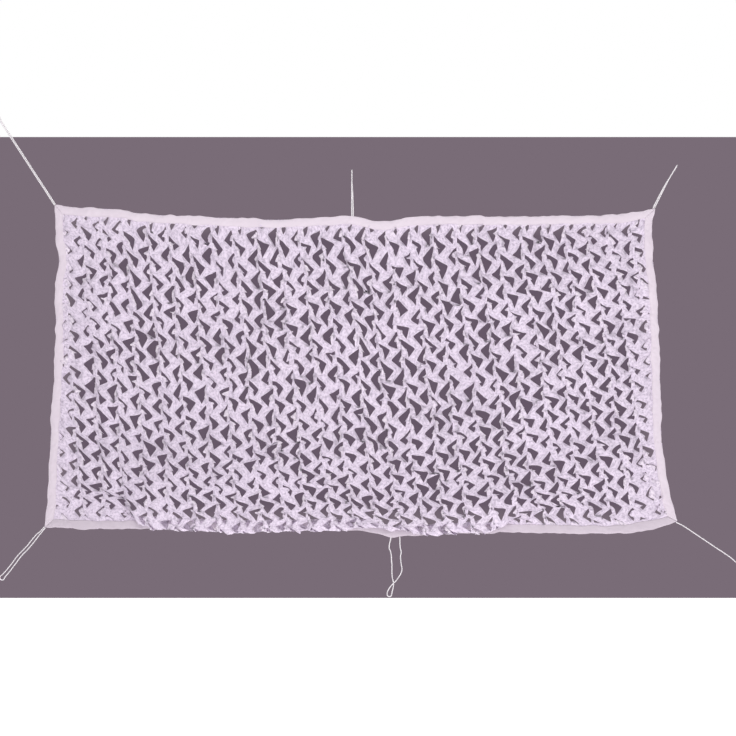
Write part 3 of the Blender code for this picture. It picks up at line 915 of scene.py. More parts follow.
# ---------------------------------------------------------------- the hung shape
@dataclass(frozen=True)
class HungShape:
    """Where each point of the flat cloth lies once the panel hangs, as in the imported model."""

    width: float = PANEL_WIDTH
    drop: float = PANEL_DROP
    probe: float = 1.5 * MM

    @staticmethod
    def _edge(rows: Table, share: np.ndarray) -> np.ndarray:
        """A point of an edge that is given as (place, value), at a share of its length."""
        place = lerp(rows[0][0], rows[-1][0], share)
        return np.stack([place, read_curve(rows, place)], axis=-1)

    def between_edges(self, u: np.ndarray, v: np.ndarray) -> np.ndarray:
        """The point of the outline plane at shares u across and v down (a Coons patch).

        Args:
            u: Shares across.
            v: Shares down.

        Returns:
            X and Z of each point.
        """
        top, bottom = self._edge(TOP_EDGE, u), self._edge(BOTTOM_EDGE, u)
        left, right = self._edge(LEFT_EDGE, v)[:, ::-1], self._edge(RIGHT_EDGE, v)[:, ::-1]
        corners = [np.array(rows[end]) for rows in (TOP_EDGE, BOTTOM_EDGE) for end in (0, -1)]
        u, v = u[:, None], v[:, None]
        chords = lerp(lerp(corners[0], corners[1], u), lerp(corners[2], corners[3], u), v)
        return lerp(top, bottom, v) + lerp(left, right, u) - chords

    def sag_share(self, u: np.ndarray, v: np.ndarray) -> np.ndarray:
        """How far the rows sink, as a share of SAG: none along the edges, most at the middle.

        Args:
            u: Shares of the width.
            v: Shares of the drop.

        Returns:
            The shares.
        """
        above = ease(v / SAG_MIDDLE) * 0.5 + 0.5 * v / SAG_MIDDLE
        below = ease((1.0 - v) / (1.0 - SAG_MIDDLE))
        return 4.0 * u * (1.0 - u) * np.where(v <= SAG_MIDDLE, above, below)

    def from_side(self, across: np.ndarray) -> np.ndarray:
        """Distance to the nearer side edge of the cloth."""
        return np.minimum(across, self.width - across)

    def from_end(self, drop: np.ndarray) -> np.ndarray:
        """Distance to the nearer of the top and bottom edges of the cloth."""
        return np.minimum(drop, self.drop - drop)

    def relief(self, across: np.ndarray, drop: np.ndarray) -> np.ndarray:
        """How far the cloth stands forward of its edges, apart from the pocket at its foot.

        Args:
            across: Distances from the cloth's left edge.
            drop: Distances down from its top edge.

        Returns:
            The distances.
        """
        u, v = across / self.width, drop / self.drop
        waves = sum(
            height * np.sin(math.tau * (turns_across * u + turns_down * v + phase))
            for height, turns_across, turns_down, phase in RELIEF_WAVES
        )
        sides = ease((self.from_side(across) - FREE_INSET) / EDGE_RAMP)
        ends = ease((self.from_end(drop) - FREE_INSET) / EDGE_RAMP)
        return sides * ends * (BULGE + waves)

    def place(self, across: np.ndarray, drop: np.ndarray, proud: Any = 0.0) -> np.ndarray:
        """Where points of the flat cloth lie, with no fine folds.

        Args:
            across: Distances from the left edge of the cloth.
            drop: Distances from its top edge.
            proud: Distances towards the back.

        Returns:
            One position for each point.
        """
        x, z = self.between_edges(across / self.width, drop / self.drop).T
        free_u = np.clip((across - FREE_INSET) / (self.width - 2 * FREE_INSET), 0.0, 1.0)
        free_v = np.clip((drop - FREE_INSET) / (self.drop - 2 * FREE_INSET), 0.0, 1.0)
        length = self.drop - FREE_INSET - drop
        held = (length > 0) & (length < POCKET_PROFILE[-1][0])
        share = read_curve(POCKET_SHARE, x) * held
        stretched = read_curve(STRETCH_SHARE, x) * held
        sunk = lerp(share, stretched, ease((length - STRETCH_FROM) / STRETCH_RAMP))
        forward = share * read_curve(POCKET_PROFILE, length, 1)
        up = sunk * (read_curve(POCKET_PROFILE, length, 2) - length)
        y = proud - self.relief(across, drop) - forward
        return np.stack([x, y, z + up - SAG * self.sag_share(free_u, free_v)], axis=-1)


# ---------------------------------------------------------------- cords
@dataclass(frozen=True)
class LaidCord:
    """A three-strand laid cord, as a mesh that a Geometry Nodes tree sweeps along a smooth route."""

    diameter: float = CORD_DIAMETER
    lay_length: float = 20 * MM
    step: float = 1.9 * MM
    sides: int = 15
    strand_depth: float = 0.09

    def tree(self) -> Any:
        """The tree that twists a three-lobed section along a curve.

        Returns:
            The tree.
        """
        tree, given = geometry_tree(
            "laid_cord",
            {"Diameter": "NodeSocketFloat", "Lay Length": "NodeSocketFloat", "Step": "NodeSocketFloat",
             "Strand Depth": "NodeSocketFloat", "Cord": "NodeSocketMaterial"},
        )
        fine = add_node(
            tree, "GeometryNodeResampleCurve",
            {"Curve": given.outputs["Geometry"], "Length": given.outputs["Step"]}, mode="LENGTH",
        )
        along = add_node(tree, "GeometryNodeSplineParameter", {})
        lays = add_node(
            tree, "ShaderNodeMath", {0: along.outputs["Length"], 1: given.outputs["Lay Length"]},
            operation="DIVIDE",
        )
        angle = add_node(tree, "ShaderNodeMath", {0: lays.outputs[0], 1: math.tau}, operation="MULTIPLY")
        kept = add_node(
            tree, "GeometryNodeStoreNamedAttribute",
            {"Geometry": fine.outputs[0], "Name": "along", "Value": along.outputs["Length"]},
            data_type="FLOAT", domain="POINT",
        )
        twisted = add_node(
            tree, "GeometryNodeSetCurveTilt", {"Curve": kept.outputs[0], "Tilt": angle.outputs[0]},
        )
        radius = add_node(
            tree, "ShaderNodeMath", {0: given.outputs["Diameter"], 1: 0.5}, operation="MULTIPLY",
        )
        ring = add_node(
            tree, "GeometryNodeCurvePrimitiveCircle",
            {"Resolution": self.sides, "Radius": radius.outputs[0]},
        )
        around = add_node(tree, "GeometryNodeSplineParameter", {})
        lobes = add_node(
            tree, "ShaderNodeMath", {0: around.outputs["Factor"], 1: 3 * math.tau}, operation="MULTIPLY",
        )
        wave = add_node(tree, "ShaderNodeMath", {0: lobes.outputs[0]}, operation="COSINE")
        swell = add_node(
            tree, "ShaderNodeMath", {0: wave.outputs[0], 1: given.outputs["Strand Depth"], 2: 1.0},
            operation="MULTIPLY_ADD",
        )
        spot = add_node(tree, "GeometryNodeInputPosition", {})
        lobed = add_node(
            tree, "ShaderNodeVectorMath", {"Vector": spot.outputs[0], "Scale": swell.outputs[0]},
            operation="SCALE",
        )
        section = add_node(
            tree, "GeometryNodeSetPosition", {"Geometry": ring.outputs[0], "Position": lobed.outputs[0]},
        )
        marked = add_node(
            tree, "GeometryNodeStoreNamedAttribute",
            {"Geometry": section.outputs[0], "Name": "around", "Value": around.outputs["Length"]},
            data_type="FLOAT", domain="POINT",
        )
        swept = add_node(
            tree, "GeometryNodeCurveToMesh",
            {"Curve": twisted.outputs[0], "Profile Curve": marked.outputs[0], "Fill Caps": True},
        )
        pair = add_node(
            tree, "ShaderNodeCombineXYZ",
            {"X": add_node(tree, "GeometryNodeInputNamedAttribute", {"Name": "along"}).outputs[0],
             "Y": add_node(tree, "GeometryNodeInputNamedAttribute", {"Name": "around"}).outputs[0]},
        )
        mapped = add_node(
            tree, "GeometryNodeStoreNamedAttribute",
            {"Geometry": swept.outputs[0], "Name": "UVMap", "Value": pair.outputs[0]},
            data_type="FLOAT2", domain="CORNER",
        )
        smooth = add_node(tree, "GeometryNodeSetShadeSmooth", {"Geometry": mapped.outputs[0]})
        real = add_node(tree, "GeometryNodeRealizeInstances", {"Geometry": smooth.outputs[0]})
        dressed = add_node(
            tree, "GeometryNodeSetMaterial",
            {"Geometry": real.outputs[0], "Material": given.outputs["Cord"]},
        )
        add_node(tree, "NodeGroupOutput", {"Geometry": dressed.outputs[0]})
        return tree

    def sweep(self, name: str, points: list[Vector], tree: Any, material: bpy.types.Material) -> Any:
        """Sweep the cord along points.

        Args:
            name: The piece's name.
            points: The centre line.
            tree: The tree that makes the cord.
            material: The cord's material.

        Returns:
            The piece.
        """
        curve = bpy.data.curves.new(name, "CURVE")
        curve.dimensions = "3D"
        spline = curve.splines.new("POLY")
        spline.points.add(len(points) - 1)
        for spline_point, point in zip(spline.points, points):
            spline_point.co = (*point, 1.0)
        values = {
            "Diameter": self.diameter,
            "Lay Length": self.lay_length,
            "Step": self.step,
            "Strand Depth": self.strand_depth,
            "Cord": material,
        }
        mesh = run_tree(link(bpy.data.objects.new(name, curve)), tree, values, name)
        return link(bpy.data.objects.new(name, mesh))


def smooth_line(knots: list[Vector], steps: int) -> list[Vector]:
    """A smooth line through points.

    Args:
        knots: The points.
        steps: New points for each stretch between two of them.

    Returns:
        The line's points.
    """
    line = []
    for i in range(len(knots) - 1):
        before, start = knots[max(i - 1, 0)], knots[i]
        end, after = knots[i + 1], knots[min(i + 2, len(knots) - 1)]
        for step in range(steps):
            t = step / steps
            line.append(0.5 * (
                2 * start
                + (end - before) * t
                + (2 * before - 5 * start + 4 * end - after) * t**2
                + (3 * start - before - 3 * end + after) * t**3
            ))
    line.append(knots[-1])
    return line


@dataclass(frozen=True)
class TieCord:
    """One tie of the panel, on its route."""

    node: str
    route: Route
    lay: str
    far_end: str = "object"

    def build(self, cord: LaidCord, tree: Any, material: bpy.types.Material) -> tuple[Any, list[Vector]]:
        """Build the tie.

        Args:
            cord: The kind of cord.
            tree: The tree that makes it.
            material: Its material.

        Returns:
            The piece and its centre line.
        """
        line = smooth_line([Vector(point) for point in self.route], 8)
        piece = cord.sweep(f"{self.node}_cord", line, tree, material)
        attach(piece, BODY)
        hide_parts(self.node)
        return piece, line

    def declare(self, piece: Any, line: list[Vector], on_it: list[Any]) -> float:
        """Args:
            piece: The tie. Not used.
            line: Its centre line.
            on_it: Pieces on it, such as its knot. Not used.

        Returns:
            Its length.
        """
        length = sum((line[i + 1] - line[i]).length for i in range(len(line) - 1))
        return length


TIES = (
    TieCord("tie_top_left", TIE_TOP_LEFT, "taut"),
    TieCord("tie_top_centre", TIE_TOP_CENTRE, "taut"),
    TieCord("tie_top_right", TIE_TOP_RIGHT, "taut"),
    TieCord("tie_bottom_left", TIE_BOTTOM_LEFT, "hanging"),
    TieCord("tie_bottom_centre", TIE_BOTTOM_CENTRE, "hanging"),
    TieCord("tie_bottom_right", TIE_BOTTOM_RIGHT, "taut", far_end="knot"),
)


@dataclass(frozen=True)
class StopperKnot:
    """The overhand knot that ends the single tie."""

    node: str = "knot_bottom_right"
    girth: float = 4.1 * MM
    steps: int = 72
    half_turn: float = 0.90
    swings: tuple[float, float, float] = (0.0016, 0.0026, 0.0018)

    def build(self, route: Route, tree: Any, material: bpy.types.Material) -> Any:
        """Tie the knot past the end of a route.

        Args:
            route: The tie's route.
            tree: The tree that makes the cord.
            material: The cord's material.

        Returns:
            The piece.
        """
        low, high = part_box(self.node)
        centre = (low + high) / 2
        direction = (Vector(route[-1]) - Vector(route[-2])).normalized()
        turn = direction.to_track_quat("Z", "Y").to_matrix()
        line = []
        for i in range(self.steps + 1):
            t = lerp(-self.half_turn, self.half_turn, i / self.steps) * math.pi
            round_it = Vector((math.sin(t) + 2 * math.sin(2 * t), math.cos(t) - 2 * math.cos(2 * t), 0))
            swing = Vector((round_it.x, math.sin(3 * t), round_it.y)) * Vector(self.swings)
            line.append(centre + turn @ swing)
        cord = LaidCord(diameter=self.girth, step=0.8 * MM)
        piece = cord.sweep(f"{self.node}_cord", line, tree, material)
        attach(piece, BODY)
        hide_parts(self.node)
        return piece


# ---------------------------------------------------------------- the incised cloth
@dataclass(frozen=True)
class ClothZones:
    """Where the slits of the hanging cloth gape, where their leaves curl, and where it is gathered.

    A spot is its place across and down, its radius across and down, and its strength.
    """

    closed_spots: Table = (
        (2.00, 1.25, 1.30, 0.26, -0.25),
        (1.90, 0.35, 0.60, 0.45, -0.15),
        (2.95, 0.06, 0.30, 0.22, 0.50),
        (2.90, 1.30, 0.13, 0.15, 0.85),
        (0.10, 0.30, 0.16, 0.50, 0.35),
        (0.35, 1.42, 0.40, 0.10, 0.25),
        (1.65, 1.42, 0.25, 0.08, 0.25),
    )
    curled_spots: Table = (
        (2.25, 0.28, 0.50, 0.26, 0.34),
        (1.75, 0.62, 0.50, 0.30, 0.08),
        (2.40, 0.08, 0.40, 0.06, 0.15),
    )
    curled_at_least: float = 0.34
    side_ramp: float = 0.12
    end_ramp: float = 0.06
    side_gape: float = 0.50
    end_gape: float = 0.75
    most_gape: float = 1.30
    patch_strength: float = 0.20
    patch_size: float = 0.33
    free_from: float = 2 * MM
    free_ramp: float = 18 * MM
    side_gather: float = 0.7
    gather_ramp: float = 0.14

    @staticmethod
    def _spots(spots: Table, across: np.ndarray, drop: np.ndarray) -> np.ndarray:
        """The sum of soft round spots.

        Args:
            spots: Rows of place across, place down, radius across, radius down and strength.
            across: Distances from the cloth's left edge.
            drop: Distances down from its top edge.

        Returns:
            The strength at each point.
        """
        total = np.zeros(len(across))
        for place, down, radius, radius_down, strength in spots:
            off, off_down = (across - place) / radius, (drop - down) / radius_down
            total += strength * np.exp(-(off**2) - off_down**2)
        return total

    def free(self, shape: HungShape, across: np.ndarray, drop: np.ndarray) -> np.ndarray:
        """0 inside the binding, and 1 from a finger's width away from it."""
        edge = np.minimum(shape.from_side(across), shape.from_end(drop)) - TAPE_WIDTH - self.free_from
        return ease(edge / self.free_ramp)

    def gape(self, shape: HungShape, across: np.ndarray, drop: np.ndarray) -> np.ndarray:
        """How far slits gape, from 0 to a little over 1.

        Args:
            shape: The hung shape.
            across: Distances from the cloth's left edge.
            drop: Distances down from its top edge.

        Returns:
            The share at each point.
        """
        sides = lerp(self.side_gape, 1.0, ease((shape.from_side(across) - TAPE_WIDTH) / self.side_ramp))
        ends = lerp(self.end_gape, 1.0, ease((shape.from_end(drop) - TAPE_WIDTH) / self.end_ramp))
        places = np.stack([across, drop], axis=-1)
        patches = self.patch_strength * smooth_noise(places / self.patch_size, 21)
        held = sides * ends * (1.0 - self._spots(self.closed_spots, across, drop)) + patches
        return np.clip(held, 0.0, self.most_gape) * self.free(shape, across, drop)

    def curled_share(self, shape: HungShape, across: np.ndarray, drop: np.ndarray) -> np.ndarray:
        """The share of leaves that have curled right up."""
        share = self.curled_at_least + self._spots(self.curled_spots, across, drop)
        return share * np.clip(self.gape(shape, across, drop), 0.0, 1.0)

    def gathered(self, across: np.ndarray, drop: np.ndarray) -> np.ndarray:
        """How strongly the cloth is gathered into soft folds, from 0 to 1."""
        sides = np.exp(-np.minimum(across, PANEL_WIDTH - across) / self.gather_ramp)
        return np.clip(self._spots(self.closed_spots, across, drop) + self.side_gather * sides, 0.0, 1.0)


@dataclass(frozen=True)
class LeafCell:
    """One cell of the cut pattern: a curved slit, and the leaf of cloth that it frees.

    The slit's ends are shares of the pitch, across and up from its apex. The apex is a share of the
    pitch across from its lattice point.
    """

    name: str
    left: float
    right: float
    apex: float
    upper_end: tuple[float, float]
    lower_end: tuple[float, float]
    across_steps: int
    leaf_rows: int
    pitch_across: float
    pitch_down: float
    blunt_end: float
    leg_places: tuple[float, ...] = (0.0, 0.32, 0.64, 0.90)
    leg_bow: float = 0.0
    side_steps: int = 4
    give_way: float = 0.04
    leaf_follows: float = 0.25
    foot_range: tuple[float, float] = (0.16, 0.84)
    push_ahead: float = 0.5
    hold_sideways: float = 0.45
    foot_pull: float = 0.4

    def _slit(self, upper: np.ndarray, lower: np.ndarray) -> np.ndarray:
        """The slit from its upper end to its lower end: two bowed legs, and a blunt apex at the origin.

        Args:
            upper: The end of its upper leg.
            lower: The end of its lower leg.

        Returns:
            Its points in order.
        """
        legs = []
        for end in (upper, lower):
            outward = np.array([-abs(end[1]) * np.sign(end[0]), abs(end[0]) * np.sign(end[1])])
            legs.append([end * (1 - s) + outward * self.leg_bow * 4 * s * (1 - s) for s in self.leg_places])
        blunt = (legs[0][-1] + legs[1][-1]) / 4
        return np.array(legs[0] + [blunt] + legs[1][::-1])

    def _turned_in(self, end: np.ndarray, other: np.ndarray) -> np.ndarray:
        """Where the slit stops once it has turned in, square to its leg, at one of its ends.

        Args:
            end: The end of this leg.
            other: The end of the other leg.

        Returns:
            The slit's last point.
        """
        square = np.array([end[1], -end[0]]) / np.linalg.norm(end)
        return end + square * np.sign(square @ (other - end)) * self.blunt_end

    def _frame(self) -> list[tuple[float, float]]:
        """The cell's outline, counter-clockwise. Its sides give way to the apexes on both of them.

        Returns:
            Its points in order.
        """
        half = self.pitch_down / 2
        lean = math.copysign(self.give_way, self.upper_end[0]) * self.pitch_across
        up = [lerp(-half, half, i / self.side_steps) for i in range(self.side_steps + 1)]
        shift = [-lean * math.cos(math.tau * y / self.pitch_down) for y in up]
        left = [((self.left - self.apex) * self.pitch_across + move, y) for move, y in zip(shift, up)]
        right = [((self.right - self.apex) * self.pitch_across + move, y) for move, y in zip(shift, up)]
        bottom = [
            tuple(lerp(np.array(left[0]), np.array(right[0]), i / self.across_steps))
            for i in range(self.across_steps)
        ]
        top = [
            tuple(lerp(np.array(right[-1]), np.array(left[-1]), i / self.across_steps))
            for i in range(self.across_steps)
        ]
        return bottom + right[:-1] + top + left[:0:-1]

    def build(self) -> bpy.types.Object:
        """Cut the cell out of flat cloth.

        Returns:
            An object outside the scene, whose points know their place on the leaf.
        """
        size = np.array([self.pitch_across, self.pitch_down])
        upper, lower = np.array(self.upper_end) * size, np.array(self.lower_end) * size
        hooks = self._turned_in(upper, lower), self._turned_in(lower, upper)
        root = hooks[1] - hooks[0]
        slit = np.vstack([hooks[0], self._slit(upper, lower), hooks[1]])
        ribs = slit[[3, 5, 7]]
        along = np.clip((ribs - hooks[0]) @ root / (root @ root), *self.foot_range)
        feet = hooks[0] + root * along[:, None]
        frame = self._frame()
        outline = [tuple(point) for point in slit] + [tuple(point) for point in feet[::-1]]
        inner = [
            tuple(lerp(foot, rib, row / (self.leaf_rows + 1)))
            for row in range(1, self.leaf_rows + 1)
            for foot, rib in zip(feet, ribs)
        ]
        frame_loop = list(range(len(frame)))
        leaf_loop = list(range(len(frame), len(frame) + len(outline)))
        if self.upper_end[0] < 0.0:
            leaf_loop.reverse()
        points = [Vector(point) for point in frame + outline + inner]
        cut = delaunay_2d_cdt(points, [], [frame_loop, leaf_loop], 1, 1e-7)
        flat, _, triangles, origins, _, inside = cut
        freed = set(range(len(frame) + 1, len(frame) + len(slit) - 1))
        foot_ids = set(range(len(frame) + len(slit), len(frame) + len(outline)))
        doubles = {}
        for i, sources in enumerate(origins):
            if freed.intersection(sources):
                doubles[i] = len(flat) + len(doubles)
        faces = [
            [doubles.get(i, i) for i in triangle] if 1 in holders else list(triangle)
            for triangle, holders in zip(triangles, inside)
        ]
        spots = np.array([tuple(point) for point in flat] + [tuple(flat[i]) for i in doubles])
        on_leaf = np.zeros(len(spots))
        on_leaf[list({i for face, holders in zip(faces, inside) if 1 in holders for i in face})] = 1.0
        edge = np.zeros(len(spots), bool)
        edge[[i for i, sources in enumerate(origins) if min(sources) < len(frame)]] = True
        half = root / 2
        towards = np.array([half[1], -half[0]]) / np.linalg.norm(half)
        towards *= np.sign(-hooks[0] @ towards)
        reach = -hooks[0] @ towards
        share = np.clip((spots - hooks[0]) @ towards / reach, 0.0, 1.0) * on_leaf
        aside = (spots - hooks[0] - half) @ half / (half @ half) * on_leaf
        mesh = bpy.data.meshes.new(self.name)
        mesh.from_pydata([(x + self.apex * self.pitch_across, y, 0.0) for x, y in spots], [], faces)
        write_attribute(mesh, "share", share)
        write_attribute(mesh, "aside", aside)
        for title, arrow in (("leaf_arm", towards * reach), ("leaf_half", half)):
            write_attribute(mesh, title, np.tile([*arrow, 0.0], len(spots)), "FLOAT_VECTOR")
        push = np.zeros((len(spots), 3))
        for i, sources in enumerate(origins):
            if freed.intersection(sources):
                away = spots[i] - (upper + lower) / 3
                sideways = half * (away @ half) / (half @ half)
                ahead = self.push_ahead * towards * (away @ towards)
                push[i, :2] = away + ahead - self.hold_sideways * sideways
                push[doubles[i], :2] = push[i, :2] * self.leaf_follows
            elif foot_ids.intersection(sources):
                push[i, :2] = -self.foot_pull * reach * towards
        write_attribute(mesh, "slit_push", push, "FLOAT_VECTOR")
        write_attribute(mesh, "cell_edge", edge, "BOOLEAN")
        return bpy.data.objects.new(self.name, mesh)


@dataclass(frozen=True)
class IncisedCloth:
    """The net panel: cloth cut with rows of curved slits that gape when it is pulled."""

    shape: HungShape
    zones: ClothZones
    node: str = "net_sheet"
    pitch_across: float = 111 * MM
    pitch_down: float = 79 * MM
    first_column: float = 0.5
    column_drift: float = 0.12
    calm_rows: int = 2
    curled_rows: int = 5
    seed: int = 7
    calm_bend: tuple[float, float] = (25.0, 105.0)
    tight_bend: tuple[float, float] = (130.0, 200.0)
    swing: float = 0.7
    blunt_end: float = 12 * MM
    askew: float = 28.0
    flare: tuple[float, float] = (-0.20, 0.48)
    pinch: float = 0.45
    ripple: float = 5.0 * MM
    hindmost: float = 15 * MM
    foremost: float = -90 * MM
    stop_room: float = 8 * MM
    calm_spread: tuple[float, float] = (0.36, 1.10)
    curled_spread: tuple[float, float] = (0.65, 1.20)
    drawn_in: tuple[float, float] = (0.30, 0.72)
    drawn_by_curl: float = 0.15
    most_drawn: float = 0.92
    calm_back_share: float = 0.66
    curled_back_share: float = 0.78
    fold_band: tuple[float, float] = (-0.108, 0.004)
    fold_span: tuple[float, float] = (0.25, 2.35)
    # Noises, each as its height and its wavelength
    sway: tuple[float, float] = (6 * MM, 0.30)
    shake: tuple[float, float] = (4.6 * MM, 0.07)
    crumple: tuple[float, float] = (5.0 * MM, 0.050)
    billow: tuple[float, float] = (3.5 * MM, 0.22)
    gather_height: float = 4.5 * MM
    gather_size: tuple[float, float] = (0.085, 0.30)

    def cells(self) -> bpy.types.Collection:
        """The four kinds of cell, in the order that the tree picks them in.

        Returns:
            A collection outside the scene.
        """
        cells = bpy.data.collections.new("leaf_cells")
        for state, rows in (("calm", self.calm_rows), ("curled", self.curled_rows)):
            opens_right = LeafCell(
                f"{state}_a_opens_right", 0.0, 0.485, 0.14, (0.24, 0.35), (0.13, -0.26), 2, rows,
                self.pitch_across, self.pitch_down, self.blunt_end,
            )
            opens_left = LeafCell(
                f"{state}_b_opens_left", -0.515, 0.0, -0.12, (-0.29, 0.34), (-0.10, -0.24), 3, rows,
                self.pitch_across, self.pitch_down, self.blunt_end,
            )
            cells.objects.link(opens_right.build())
            cells.objects.link(opens_left.build())
        return cells

    def lattice(self) -> bpy.types.Object:
        """The apex of every slit of the flat cloth, before its columns drift.

        Returns:
            An object of loose points, each with its side and its chance of a curled leaf.
        """
        columns = math.ceil(PANEL_WIDTH / self.pitch_across) + 5
        rows = math.ceil(PANEL_DROP / self.pitch_down) + 2
        spots, sides = [], []
        for row in range(-1, rows):
            for column in range(-4, columns):
                for side in (0, 1):
                    drop = (row + 0.5 * side) * self.pitch_down
                    across = (column + self.first_column) * self.pitch_across
                    drifted = across + self.column_drift * drop
                    if -self.pitch_across < drifted < PANEL_WIDTH + self.pitch_across:
                        spots.append((across, -drop, 0.0))
                        sides.append(float(side))
        mesh = bpy.data.meshes.new("slit_apexes")
        mesh.from_pydata(spots, [], [])
        places = np.array(spots)
        across, drop = places[:, 0] - self.column_drift * places[:, 1], -places[:, 1]
        chance = self.zones.curled_share(self.shape, across, drop)
        write_attribute(mesh, "side", sides)
        write_attribute(mesh, "curled_share", chance)
        return link(bpy.data.objects.new("slit_apexes", mesh))

    def tree(self) -> Any:
        """The tree that lays a cell at each apex, and joins the cells into one cloth.

        Returns:
            The tree.
        """
        tree, given = geometry_tree(
            "incised_cloth",
            {"Cells": "NodeSocketCollection", "Seed": "NodeSocketInt", "Join Distance": "NodeSocketFloat",
             "Cloth": "NodeSocketMaterial"},
        )
        points = given.outputs["Geometry"]
        for shift, title in enumerate(("draw", "roll", "turn", "wide", "tone")):
            seed = add_node(tree, "ShaderNodeMath", {0: given.outputs["Seed"], 1: shift}, operation="ADD")
            value = add_node(
                tree, "FunctionNodeRandomValue", {2: 0.0, 3: 1.0, 8: seed.outputs[0]}, data_type="FLOAT",
            )
            stored = add_node(
                tree, "GeometryNodeStoreNamedAttribute",
                {"Geometry": points, "Name": title, "Value": value.outputs[1]},
                data_type="FLOAT", domain="POINT",
            )
            points = stored.outputs[0]
        draw, chance, side = (
            add_node(tree, "GeometryNodeInputNamedAttribute", {"Name": title}).outputs[0]
            for title in ("draw", "curled_share", "side")
        )
        curled = add_node(tree, "ShaderNodeMath", {0: draw, 1: chance}, operation="LESS_THAN")
        kept = add_node(
            tree, "GeometryNodeStoreNamedAttribute",
            {"Geometry": points, "Name": "curled", "Value": curled.outputs[0]},
            data_type="FLOAT", domain="POINT",
        )
        pick = add_node(
            tree, "ShaderNodeMath", {0: curled.outputs[0], 1: 2.0, 2: side}, operation="MULTIPLY_ADD",
        )
        cells = add_node(
            tree, "GeometryNodeCollectionInfo", {0: given.outputs["Cells"], 1: True, 2: True},
        )
        laid = add_node(
            tree, "GeometryNodeInstanceOnPoints",
            {0: kept.outputs[0], 2: cells.outputs[0], 3: True, 4: pick.outputs[0]},
        )
        real = add_node(tree, "GeometryNodeRealizeInstances", {0: laid.outputs[0]})
        edge = add_node(
            tree, "GeometryNodeInputNamedAttribute", {"Name": "cell_edge"}, data_type="BOOLEAN",
        )
        joined = add_node(
            tree, "GeometryNodeMergeByDistance",
            {0: real.outputs[0], 1: edge.outputs[0], 2: given.outputs["Join Distance"]},
        )
        spot = add_node(tree, "GeometryNodeInputPosition", {})
        mapped = add_node(
            tree, "GeometryNodeStoreNamedAttribute",
            {"Geometry": joined.outputs[0], "Name": "UVMap", "Value": spot.outputs[0]},
            data_type="FLOAT2", domain="CORNER",
        )
        smooth = add_node(tree, "GeometryNodeSetShadeSmooth", {0: mapped.outputs[0]})
        dressed = add_node(
            tree, "GeometryNodeSetMaterial", {0: smooth.outputs[0], 2: given.outputs["Cloth"]},
        )
        add_node(tree, "NodeGroupOutput", {0: dressed.outputs[0]})
        return tree

    def trim(self, mesh: bpy.types.Mesh) -> None:
        """Trim the flat cloth to the panel, and add points where it will fold sharply at its foot.

        Args:
            mesh: The flat cloth, changed in place.
        """
        bm = bmesh.new()
        bm.from_mesh(mesh)
        bm.normal_update()
        bmesh.ops.reverse_faces(bm, faces=[face for face in bm.faces if face.normal.z < 0.0])
        for vert in bm.verts:
            vert.co.x -= self.column_drift * vert.co.y
        for spot, outward in (
            ((0.0, 0.0, 0.0), (-1.0, 0.0, 0.0)),
            ((PANEL_WIDTH, 0.0, 0.0), (1.0, 0.0, 0.0)),
            ((0.0, 0.0, 0.0), (0.0, 1.0, 0.0)),
            ((0.0, -PANEL_DROP, 0.0), (0.0, -1.0, 0.0)),
        ):
            bmesh.ops.bisect_plane(
                bm, geom=bm.verts[:] + bm.edges[:] + bm.faces[:], dist=1e-6,
                plane_co=spot, plane_no=outward, clear_outer=True,
            )
        low, high = (PANEL_DROP - FREE_INSET + reach for reach in self.fold_band)
        left, right = self.fold_span
        folding = [
            edge for edge in bm.edges
            if low < -(edge.verts[0].co.y + edge.verts[1].co.y) / 2 < high
            and left < (edge.verts[0].co.x + edge.verts[1].co.x) / 2 < right
            and abs(edge.verts[0].co.y - edge.verts[1].co.y) > 8 * MM
        ]
        bmesh.ops.subdivide_edges(bm, edges=folding, cuts=1)
        bmesh.ops.triangulate(bm, faces=[face for face in bm.faces if len(face.verts) > 3])
        bm.to_mesh(mesh)
        bm.free()

    def hang(self, mesh: bpy.types.Mesh) -> None:
        """Move every point of the flat cloth to where it hangs, and bend its leaf.

        Args:
            mesh: The flat cloth, changed in place.
        """
        count = len(mesh.vertices)
        flat = np.zeros(count * 3, np.float32)
        mesh.vertices.foreach_get("co", flat)
        flat = flat.astype(float).reshape(-1, 3)
        share, wide, tone = (read_attribute(mesh, title) for title in ("share", "wide", "tone"))
        roll, turn, curled = (read_attribute(mesh, title) for title in ("roll", "turn", "curled"))
        aside = read_attribute(mesh, "aside")
        arm, half = (read_attribute(mesh, title, 3)[:, :2] for title in ("leaf_arm", "leaf_half"))
        for arrow in (arm, half):
            arrow[:, 0] -= self.column_drift * arrow[:, 1]
        reach = np.linalg.norm(arm, axis=1)
        push = read_attribute(mesh, "slit_push", 3)[:, :2]
        rolled = curled > 0.5
        spread = np.where(rolled, lerp(*self.curled_spread, tone), lerp(*self.calm_spread, tone))
        root = flat[:, :2] - arm * share[:, None]
        across, drop = root[:, 0], -root[:, 1]
        shape, zones = self.shape, self.zones
        gape = zones.gape(shape, across, drop)
        free = zones.free(shape, across, drop)
        askew = np.radians(lerp(-self.askew, self.askew, turn))
        push = np.stack([
            push[:, 0] * np.cos(askew) - push[:, 1] * np.sin(askew),
            push[:, 0] * np.sin(askew) + push[:, 1] * np.cos(askew),
        ], axis=-1)
        opened = push * (spread * gape)[:, None]

